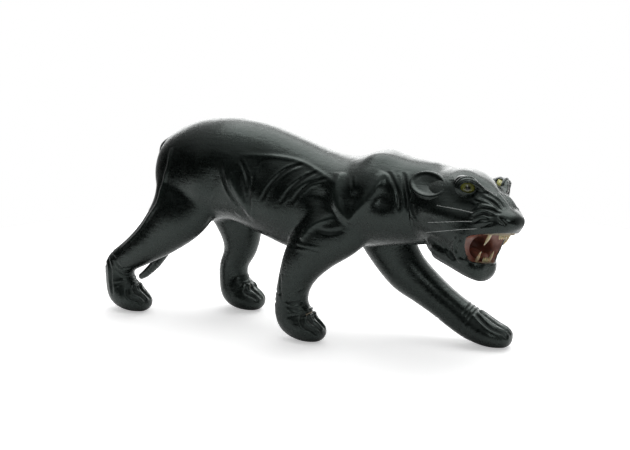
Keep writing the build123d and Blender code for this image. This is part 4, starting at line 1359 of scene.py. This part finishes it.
@dataclass
class Ears:
    """Round dished ears laid against the head."""

    at: float = -41.0
    round_head: float = 56.0
    flare: float = 11.0
    half_length: float = 22.5
    half_width: float = 15.0
    thick: float = 4.6
    rim: float = 2.5
    rim_inset: tuple[float, float] = (4.0, 3.6)
    cell: float = 0.8
    dish: Swell = Swell((2, 0, 0), (13.5, 9.0, 12.0), -4.0)
    back: float = -1.5  # what lies behind this is not dished
    shade: float = 0.35  # share of the dish's depth noted as a fold, which paints shade into the dish

    def place(self, side: int) -> Matrix:
        """Place of an ear on the head, with Z outwards."""
        out, up, lean = HEAD[0].spot(self.round_head)
        spot = turned((self.at, side * out, HEAD[0].z + up), x=-side * lean)
        return FACE @ spot @ turned((0, 0, 0), y=self.flare)

    def ear(self, side: int, name: str) -> bpy.types.Object:
        """One ear with a rolled rim and a dished middle, in millimetres."""
        clay, place = Clay(), self.place(side)
        clay.ball((0, 0, -1.0), (self.half_length - 0.5, self.half_width - 0.5, self.thick), place)
        length, width = self.half_length - self.rim_inset[0], self.half_width - self.rim_inset[1]
        turns = [step * math.tau / 16 for step in range(17)]
        line = [(length * math.cos(turn), width * math.sin(turn), 1.0) for turn in turns]
        clay.tube(line, (self.rim,) * 17, place, 12, 2)
        ear = clay.merged(name, self.cell, 8)
        mesh = ear.data
        points = coordinates(mesh)
        home = np.array(place.inverted())
        local = points @ home[:3, :3].T + home[:3, 3]
        lift = self.dish.lift(local) * (local[:, 2] > self.back)
        points += lift[:, None] * np.array(place.to_3x3() @ Vector((0, 0, 1)))
        mesh.vertices.foreach_set("co", points.ravel())
        # The dish's depth is noted as a fold, so that the leather paints shade into the dish.
        fold = mesh.attributes.new(FOLD_NOTE, "FLOAT", "POINT")
        fold.data.foreach_set("value", (lift * self.shade).astype(np.float32))
        mesh.update()
        return ear


@dataclass
class Mouth:
    """Ivory teeth and a tongue."""

    upper_lip: float = -42.0
    lower_lip: float = -65.0
    corner: float = 7.0
    lip_rise: float = 8.0
    jaw_rise: float = 12.0
    sets: tuple = (  # node, place ahead, places to the left, whether upper, radius, length, hook
        ("upper_fangs", 26.0, (12.0, -12.0), True, 1.4, 8.5, 4.6),
        ("lower_fangs", 12.0, (8.0, -8.0), False, 1.4, 8.5, 3.2),
        ("upper_front_teeth", 31.0, (-3.75, -1.25, 1.25, 3.75), True, 0.95, 2.2, 0.2),
        ("lower_front_teeth", 15.5, (-3.75, -1.25, 1.25, 3.75), False, 0.95, 2.2, 0.2),
    )

    def lip(self, x: float, upper: bool) -> float:
        """Height of a lip line ahead of the eyes."""
        start, rise = (
            (self.upper_lip, self.lip_rise) if upper else (self.lower_lip, self.jaw_rise)
        )
        return start + (x - self.corner) * math.tan(math.radians(rise))

    def teeth(
        self, name: str, spots: Sequence[tuple[float, float]], upper: bool, radius: float,
        length: float, hook: float,
    ) -> bpy.types.Object:
        """A set of curved pointed teeth.

        Args:
            name: name of the piece.
            spots: places ahead of the eyes and to the left.
            upper: whether they hang from the upper lip.
            radius: radius at the gum.
            length: length below the gum.
            hook: how far the upper tips lean back, and the lower ones ahead.

        Returns:
            The teeth in millimetres.
        """
        clay = Clay()
        down = -1 if upper else 1
        for x, y in spots:
            z = self.lip(x, upper)
            way = -hook if upper else hook
            line = [
                (x - 0.2 * way, y, z - down * 2.0),
                (x + 0.25 * way, y, z + down * length * 0.3),
                (x + 0.62 * way, y, z + down * length * 0.68),
                (x + way, y, z + down * length),
            ]
            clay.tube(line, (radius * 1.05, radius, radius * 0.65, 0.35), FACE, 14, 4)
        return clay.piece(name)

    def tongue(self) -> bpy.types.Object:
        """Curled tongue with a groove along it."""
        clay = Clay()
        clay.tube([(-8, 0, -60), (0, 0, -61.5), (7, 0, -62), (12.5, 0, -60)],
                  (4.5, 5.2, 4.6, 3.0), FACE)
        tongue = clay.merged("tongue_soft", 0.7, 4)
        press(tongue, [Fold(((-8, 0, -55.5), (0, 0, -56.3), (8, 0, -57.2), (13, 0, -57)), -1.0,
                            1.2, 0.0, True)], mark=False)
        return tongue


@dataclass
class Whiskers:
    """Three nylon whiskers on each side of the muzzle."""

    radius: float = 0.32
    lengths: tuple = (34.0, 48.0, 54.0)
    rises: tuple = (2.0, -11.0, -14.0)
    spread: float = 38.0
    roots: tuple = ((14.5, 23.5, -20.5), (22.0, 20.5, -26.5), (27.0, 18.5, -31.5))

    def side(self, side: int, name: str) -> bpy.types.Object:
        """The whiskers of one side, in millimetres."""
        clay = Clay()
        for (x, y, z), length, rise in zip(self.roots, self.lengths, self.rises):
            root = turned((x, side * y, z), z=side * (180 - self.spread))
            root = root @ turned((0, 0, 0), y=90 - rise)
            line = [tuple(root @ Vector((0, 0, along * length))) for along in (-0.06, 0.4, 1.0)]
            middle = line[1]
            line[1] = (middle[0], middle[1] + side * 0.4, middle[2] + 0.5)
            clay.tube(line, (self.radius * 1.15, self.radius, self.radius * 0.6), FACE, 10, 5)
        return clay.piece(name)


@dataclass
class Tail:
    """Leather sleeve over the wire of the tail."""

    wrinkles: int = 11
    first: float = 0.7  # station of the first wrinkle
    apart: float = 0.6  # stations between two wrinkles

    def sleeve(self) -> bpy.types.Object:
        """The tail with the twisted wrinkles of its sleeve, in millimetres."""
        clay = Clay()
        clay.limb(TAIL)
        clay.ball((-233, 25, 25), (3.6, 3.6, 3.6))
        tail = clay.merged("leather_tail", 0.9, 3)
        folds = []
        for step in range(self.wrinkles):
            station = self.first + step * self.apart
            spots = [(station - 0.1, -160 + 30 * (step % 4)), (station, -60 + 30 * (step % 4)),
                     (station + 0.12, 40 + 30 * (step % 4))]
            folds.append(Fold(on_limb(TAIL, spots, 1), -0.45, 1.0, 0.25))
        press(tail, folds)
        return tail


# -------------------------------------------------------------------------- hatch
HATCH_ANGLE = 36.0  # of the hatch and the inlet, from the bottom of the belly to the left


def belly_place(rib: Rib) -> Matrix:
    """Place on the belly at a rib, with Z outwards."""
    left, down, lean = rib.spot(HATCH_ANGLE)
    return turned((rib.x, left, rib.z - down), x=180 + lean)


@dataclass
class HatchWork:
    """Openings in the belly's leather, the hatch's own leather, and the knob."""

    length: float = 52.0
    width: float = 38.0
    gap: float = 0.2
    switch_at: float = 7.0
    nut_well: float = 14.8
    screw_at: float = 23.0
    screw_well: float = 5.9
    grommet: float = 13.4
    knob: float = 15.0
    knob_height: float = 9.0
    flutes: int = 12
    flute_depth: float = 0.055  # share of the knob's radius, each way
    reach: float = 24.0  # of a cutting tool

    def column(
        self, place: Matrix, along: float, length: float, width: float
    ) -> bpy.types.Object:
        """Oval cutting tool through the leather, at a distance along a place on the belly."""
        mesh = bmesh.new()
        size = Matrix.Diagonal((length / 2, width / 2, 1.0, 1.0))
        bmesh.ops.create_cone(
            mesh, cap_ends=True, segments=64, radius1=1.0, radius2=1.0, depth=self.reach,
            matrix=place @ Matrix.Translation((along, 0, 0)) @ size,
        )
        return new_object("column_tool", mesh)

    def cut(self, panel: bpy.types.Object) -> bpy.types.Object:
        """Open the hatch and the lead's inlet in the left panel.

        Args:
            panel: the leather of the left side, in millimetres.

        Returns:
            The leather of the hatch, cut from the same skin.
        """
        hatch, inlet = belly_place(LOIN), belly_place(FLANK)
        lid = panel.copy()
        lid.data = panel.data.copy()
        lid.name = "leather_hatch"
        bpy.context.scene.collection.objects.link(lid)
        loose = 2 * self.gap
        plug = self.column(hatch, 0, self.length - loose, self.width - loose)
        carved(lid, plug, operation="INTERSECT")
        wells = [self.column(hatch, self.switch_at, self.nut_well, self.nut_well)]
        for along in (-self.screw_at, self.screw_at):
            wells.append(self.column(hatch, along, self.screw_well, self.screw_well))
        carved(lid, *wells)
        carved(
            panel,
            self.column(hatch, 0, self.length, self.width),
            self.column(inlet, 0, self.grommet, self.grommet),
        )
        return lid

    def fluted_knob(self) -> bpy.types.Object:
        """Moulded knob with rounded flutes and a domed top."""
        hatch = belly_place(LOIN) @ Matrix.Translation((self.switch_at, 0, 3.6))
        mesh = bmesh.new()
        radius, high = self.knob / 2, self.knob_height
        outline = [(0.0, 0.0), (radius, 0.0), (radius, high * 0.72), (radius * 0.88, high * 0.93),
                   (radius * 0.6, high), (0.0, high)]
        verts = [mesh.verts.new((x, 0.0, z)) for x, z in outline]
        edges = [mesh.edges.new(pair) for pair in zip(verts, verts[1:])]
        bmesh.ops.spin(
            mesh, geom=[*verts, *edges], cent=(0, 0, 0), axis=(0, 0, 1), angle=math.tau,
            steps=self.flutes * 8, use_merge=True, use_duplicate=False,
        )
        bmesh.ops.remove_doubles(mesh, verts=mesh.verts, dist=1e-4)
        bmesh.ops.recalc_face_normals(mesh, faces=mesh.faces)
        for vert in mesh.verts:
            reach = math.hypot(vert.co.x, vert.co.y)
            if reach > radius * 0.8:
                wave = math.cos(self.flutes * math.atan2(vert.co.y, vert.co.x))
                shrink = 1.0 - self.flute_depth * (1.0 - wave)
                vert.co.x *= shrink
                vert.co.y *= shrink
        bmesh.ops.transform(mesh, matrix=hatch, verts=mesh.verts)
        return new_object("moulded_knob", mesh)


# ------------------------------------------------------------------------- studio
@dataclass
class Studio:
    """Pale floor, soft lamps and the camera."""

    camera_at: Point = (0.5488, -1.0280, 0.3789)
    looks_at: Point = (0.0045, 0.0068, 0.10897)
    lens: float = 68.57
    floor: float = 0.62  # radius
    glow: float = 0.42  # of the floor under the object, where 1 is white
    glow_from: float = 0.25  # distance at which the glow starts to rise
    glow_to: float = 0.55  # distance at which the floor is white
    front_light: float = 0.012
    top_light: float = 0.6
    back_light: float = 0.6
    lamps: tuple = (  # name, place, aim, size and power
        ("overhead", (0.0, 0.3, 1.25), (0.0, 0.0, 0.15), (1.5, 1.1), 10.0),
        ("rim", (-0.5, 1.35, 0.6), (0.0, 0.0, 0.15), (2.4, 0.8), 13.0),
        ("front", (0.9, -1.2, 0.8), (0.1, 0.0, 0.12), (0.35, 0.5), 1.6),
    )

    def build(self) -> None:
        """Set up the whole studio."""
        bpy.context.scene.view_settings.view_transform = "Standard"
        self.add_floor()
        self.add_world()
        for lamp in self.lamps:
            self.add_lamp(*lamp)
        self.add_camera()

    def add_camera(self) -> None:
        """Place the camera."""
        data = bpy.data.cameras.new("studio_camera")
        data.lens = self.lens
        data.sensor_width = 36.0
        data.sensor_fit = "HORIZONTAL"
        camera = bpy.data.objects.new("studio_camera", data)
        camera.location = self.camera_at
        camera.rotation_euler = self.aim(self.camera_at, self.looks_at)
        bpy.context.scene.collection.objects.link(camera)
        bpy.context.scene.camera = camera

    @staticmethod
    def aim(at: Point, target: Point) -> tuple:
        """Turn that points a lamp or the camera from one place to another."""
        return (Vector(target) - Vector(at)).to_track_quat("-Z", "Y").to_euler()

    def add_lamp(
        self, name: str, at: Point, target: Point, size: tuple[float, float], power: float
    ) -> None:
        """Hang one soft rectangular lamp."""
        data = bpy.data.lights.new(name, "AREA")
        data.shape = "RECTANGLE"
        data.size, data.size_y = size
        data.energy = power
        lamp = bpy.data.objects.new(name, data)
        lamp.location = at
        lamp.rotation_euler = self.aim(at, target)
        bpy.context.scene.collection.objects.link(lamp)

    def add_floor(self) -> None:
        """Lay the pale floor, which the camera sees as white away from the object."""
        mesh = bmesh.new()
        bmesh.ops.create_circle(mesh, cap_ends=True, radius=self.floor, segments=96)
        floor = new_object("studio_floor", mesh)
        material, paint, shader = blank_material("floor_paper")
        place = paint.node("ShaderNodeTexCoord")
        cloud = paint.noise(place.outputs["Object"], 3.0)
        paint.join(paint.blend(cloud, (0.88, 0.88, 0.88), (0.91, 0.91, 0.91)),
                   shader.inputs["Base Color"])
        shader.inputs["Roughness"].default_value = 0.9
        away = paint.node("ShaderNodeVectorMath", operation="LENGTH")
        paint.join(place.outputs["Object"], away.inputs[0])
        rays = paint.node("ShaderNodeLightPath")
        glow = paint.spread(away.outputs["Value"], self.glow_from, self.glow_to, self.glow, 1.0)
        glow = paint.math("MULTIPLY", glow, rays.outputs["Is Camera Ray"])
        shader.inputs["Emission Color"].default_value = (1.0, 1.0, 1.0, 1.0)
        paint.join(glow, shader.inputs["Emission Strength"])
        floor.data.materials.append(material)

    def add_world(self) -> None:
        """White for the eye; for the object, bright above and behind and dim in front."""
        made = bpy.data.worlds.new("studio_world")
        bpy.context.scene.world = made
        made.use_nodes = True
        paint = Painter(made.node_tree)
        back = made.node_tree.nodes["Background"]
        back.inputs["Color"].default_value = (1.0, 1.0, 1.0, 1.0)
        rays = paint.node("ShaderNodeLightPath")
        seen = paint.math("MAXIMUM", rays.outputs["Is Camera Ray"],
                          rays.outputs["Is Transmission Ray"])
        way = paint.node("ShaderNodeTexCoord")
        axes = paint.node("ShaderNodeSeparateXYZ")
        paint.join(way.outputs["Generated"], axes.inputs[0])
        above = paint.spread(axes.outputs["Z"], 0.35, 0.9, self.front_light, self.top_light)
        behind = paint.spread(axes.outputs["Y"], 0.05, 0.7, 0.0, self.back_light)
        strength = paint.math("MAXIMUM", paint.math("ADD", above, behind), seen)
        paint.join(strength, back.inputs["Strength"])


# --------------------------------------------------------------------------- build
SURFACES = {
    "papier_mache": Surface("papier_mache", (0.42, 0.36, 0.27), (0.33, 0.28, 0.2), 0.85,
                            120.0, relief=0.0004),
    "black_felt": Surface("black_felt", (0.012, 0.012, 0.013), (0.02, 0.02, 0.021), 0.95,
                          1500.0, relief=0.0003, sheen=0.4),
    "steel_wire": Surface("steel_wire", (0.42, 0.42, 0.42), (0.3, 0.3, 0.3), 0.35, 400.0, 1.0),
    "nylon": Surface("nylon", (0.30, 0.32, 0.31), (0.40, 0.42, 0.41), 0.3, 600.0),
    "mouth_pink": Surface("mouth_pink", (0.29, 0.125, 0.09), (0.17, 0.065, 0.045), 0.34, 130.0,
                          relief=0.0003, soft=0.1),
    "ivory": Surface("ivory", (0.72, 0.64, 0.42), (0.62, 0.5, 0.28), 0.25, 300.0, soft=0.2),
    "black_rubber": Surface("black_rubber", (0.015, 0.015, 0.016), (0.025, 0.025, 0.026), 0.6,
                            700.0),
    "phenolic": Surface("phenolic", (0.02, 0.012, 0.009), (0.035, 0.02, 0.014), 0.28, 180.0),
    "brass": Surface("brass", (0.62, 0.44, 0.18), (0.5, 0.33, 0.12), 0.3, 300.0, 1.0),
    "bulb_glass": Surface("bulb_glass", (0.95, 0.95, 0.93), (0.9, 0.9, 0.88), 0.05, 60.0,
                          relief=0.00002, clear=0.9),
}


def glass_eye(name: str, side: int) -> bpy.types.Material:
    """Glass over the painted iris: the rings of the iris, with their partly painted glow at the
    rim, under a clear gloss.
    """
    material = Iris(name, side).made()
    shader = material.node_tree.nodes["Principled BSDF"]
    shader.inputs["Coat Weight"].default_value = 1.0
    shader.inputs["Coat Roughness"].default_value = 0.03
    shader.inputs["Specular IOR Level"].default_value = 0.5
    return material


def painted(node: bpy.types.Object, material: bpy.types.Material) -> None:
    """Give a node of the model its finish."""
    node.data.materials.clear()
    node.data.materials.append(material)


def dress_nodes(frame: dict, finishes: dict[str, bpy.types.Material]) -> None:
    """Paint the nodes of the model, of which some stay in view."""
    for part in frame["record"]["subparts"]:
        if part["material_slot"] in finishes:
            painted(frame["nodes"][part["node"]], finishes[part["material_slot"]])
    for name, side in SIDES.items():
        painted(frame["nodes"][f"glass_eye_{name}"], glass_eye(f"glass_eye_{name}_paint", side))
        painted(frame["nodes"][f"iris_disc_{name}"], Iris(f"iris_{name}_paint", side).made())


def build_body(finishes: dict[str, bpy.types.Material]) -> None:
    """Build the skin of the body and the legs, with the hatch and the sole pads."""
    hide = finishes["black_leather"]
    body = BodySkin()
    panels, pads = body.panels(body.sculpt())
    finished(HatchWork().cut(panels["torso_left"]), hide, "black_leather", "hatch_hide")
    for name, panel in panels.items():
        node = name.replace("torso_", "torso_hide_").replace("leg_", "leg_hide_")
        finished(panel, hide, "black_leather", node)
    for name, pad in pads.items():
        finished(pad, finishes["black_felt"], "black_felt", f"sole_pad_{name}")


def build_head(
    finishes: dict[str, bpy.types.Material], nose_hide: bpy.types.Material
) -> None:
    """Build the skin of the head with its features.

    Args:
        finishes: the finish of each slot.
        nose_hide: the finer leather of the nose and the lids.
    """
    hide, pink = finishes["black_leather"], finishes["mouth_pink"]
    head = HeadSkin()
    parts = head.panels(*head.sculpt())
    for part, finish, slot, node in (
        ("head", hide, "black_leather", "head_hide"),
        ("jaw", hide, "black_leather", "jaw_hide"),
        ("nose", nose_hide, "black_leather", "nose_leather"),
        ("palate", pink, "mouth_pink", "palate"),
        ("mouth_floor", pink, "mouth_pink", "mouth_floor"),
    ):
        finished(parts[part], finish, slot, node)
    eyes, ears, whiskers = Eyes(), Ears(), Whiskers()
    for name, side in SIDES.items():
        finished(eyes.lids(side, f"lids_{name}"), nose_hide, "black_leather", f"eyelid_{name}")
        finished(ears.ear(side, f"dished_ear_{name}"), hide, "black_leather", f"ear_{name}")
        finished(whiskers.side(side, f"nylon_whiskers_{name}"), finishes["nylon"], "nylon",
                 f"whiskers_{name}")
    mouth = Mouth()
    for node, ahead, sides, upper, radius, length, hook in mouth.sets:
        spots = [(ahead, y) for y in sides]
        teeth = mouth.teeth(f"ivory_{node}", spots, upper, radius, length, hook)
        finished(teeth, finishes["ivory"], "ivory", node)
    finished(mouth.tongue(), pink, "mouth_pink", "tongue")


def main() -> None:
    """Build every piece and the studio."""
    logging.basicConfig(level=logging.INFO, format="%(message)s")
    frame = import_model()
    leather, wear = leather_group(), wear_group()
    nose_hide = Leather("nose_leather_skin", grain=Grain.FINE, relief=0.0001).made(leather)
    finishes = {name: surface.made(wear) for name, surface in SURFACES.items()}
    finishes["black_leather"] = Leather("leather").made(leather)
    dress_nodes(frame, finishes)
    build_body(finishes)
    build_head(finishes, nose_hide)
    finished(Tail().sleeve(), finishes["black_leather"], "black_leather", "tail_hide")
    finished(HatchWork().fluted_knob(), finishes["phenolic"], "phenolic", "switch_knob",
             body="knob")
    Studio().build()


if __name__ == "__main__":
    main()
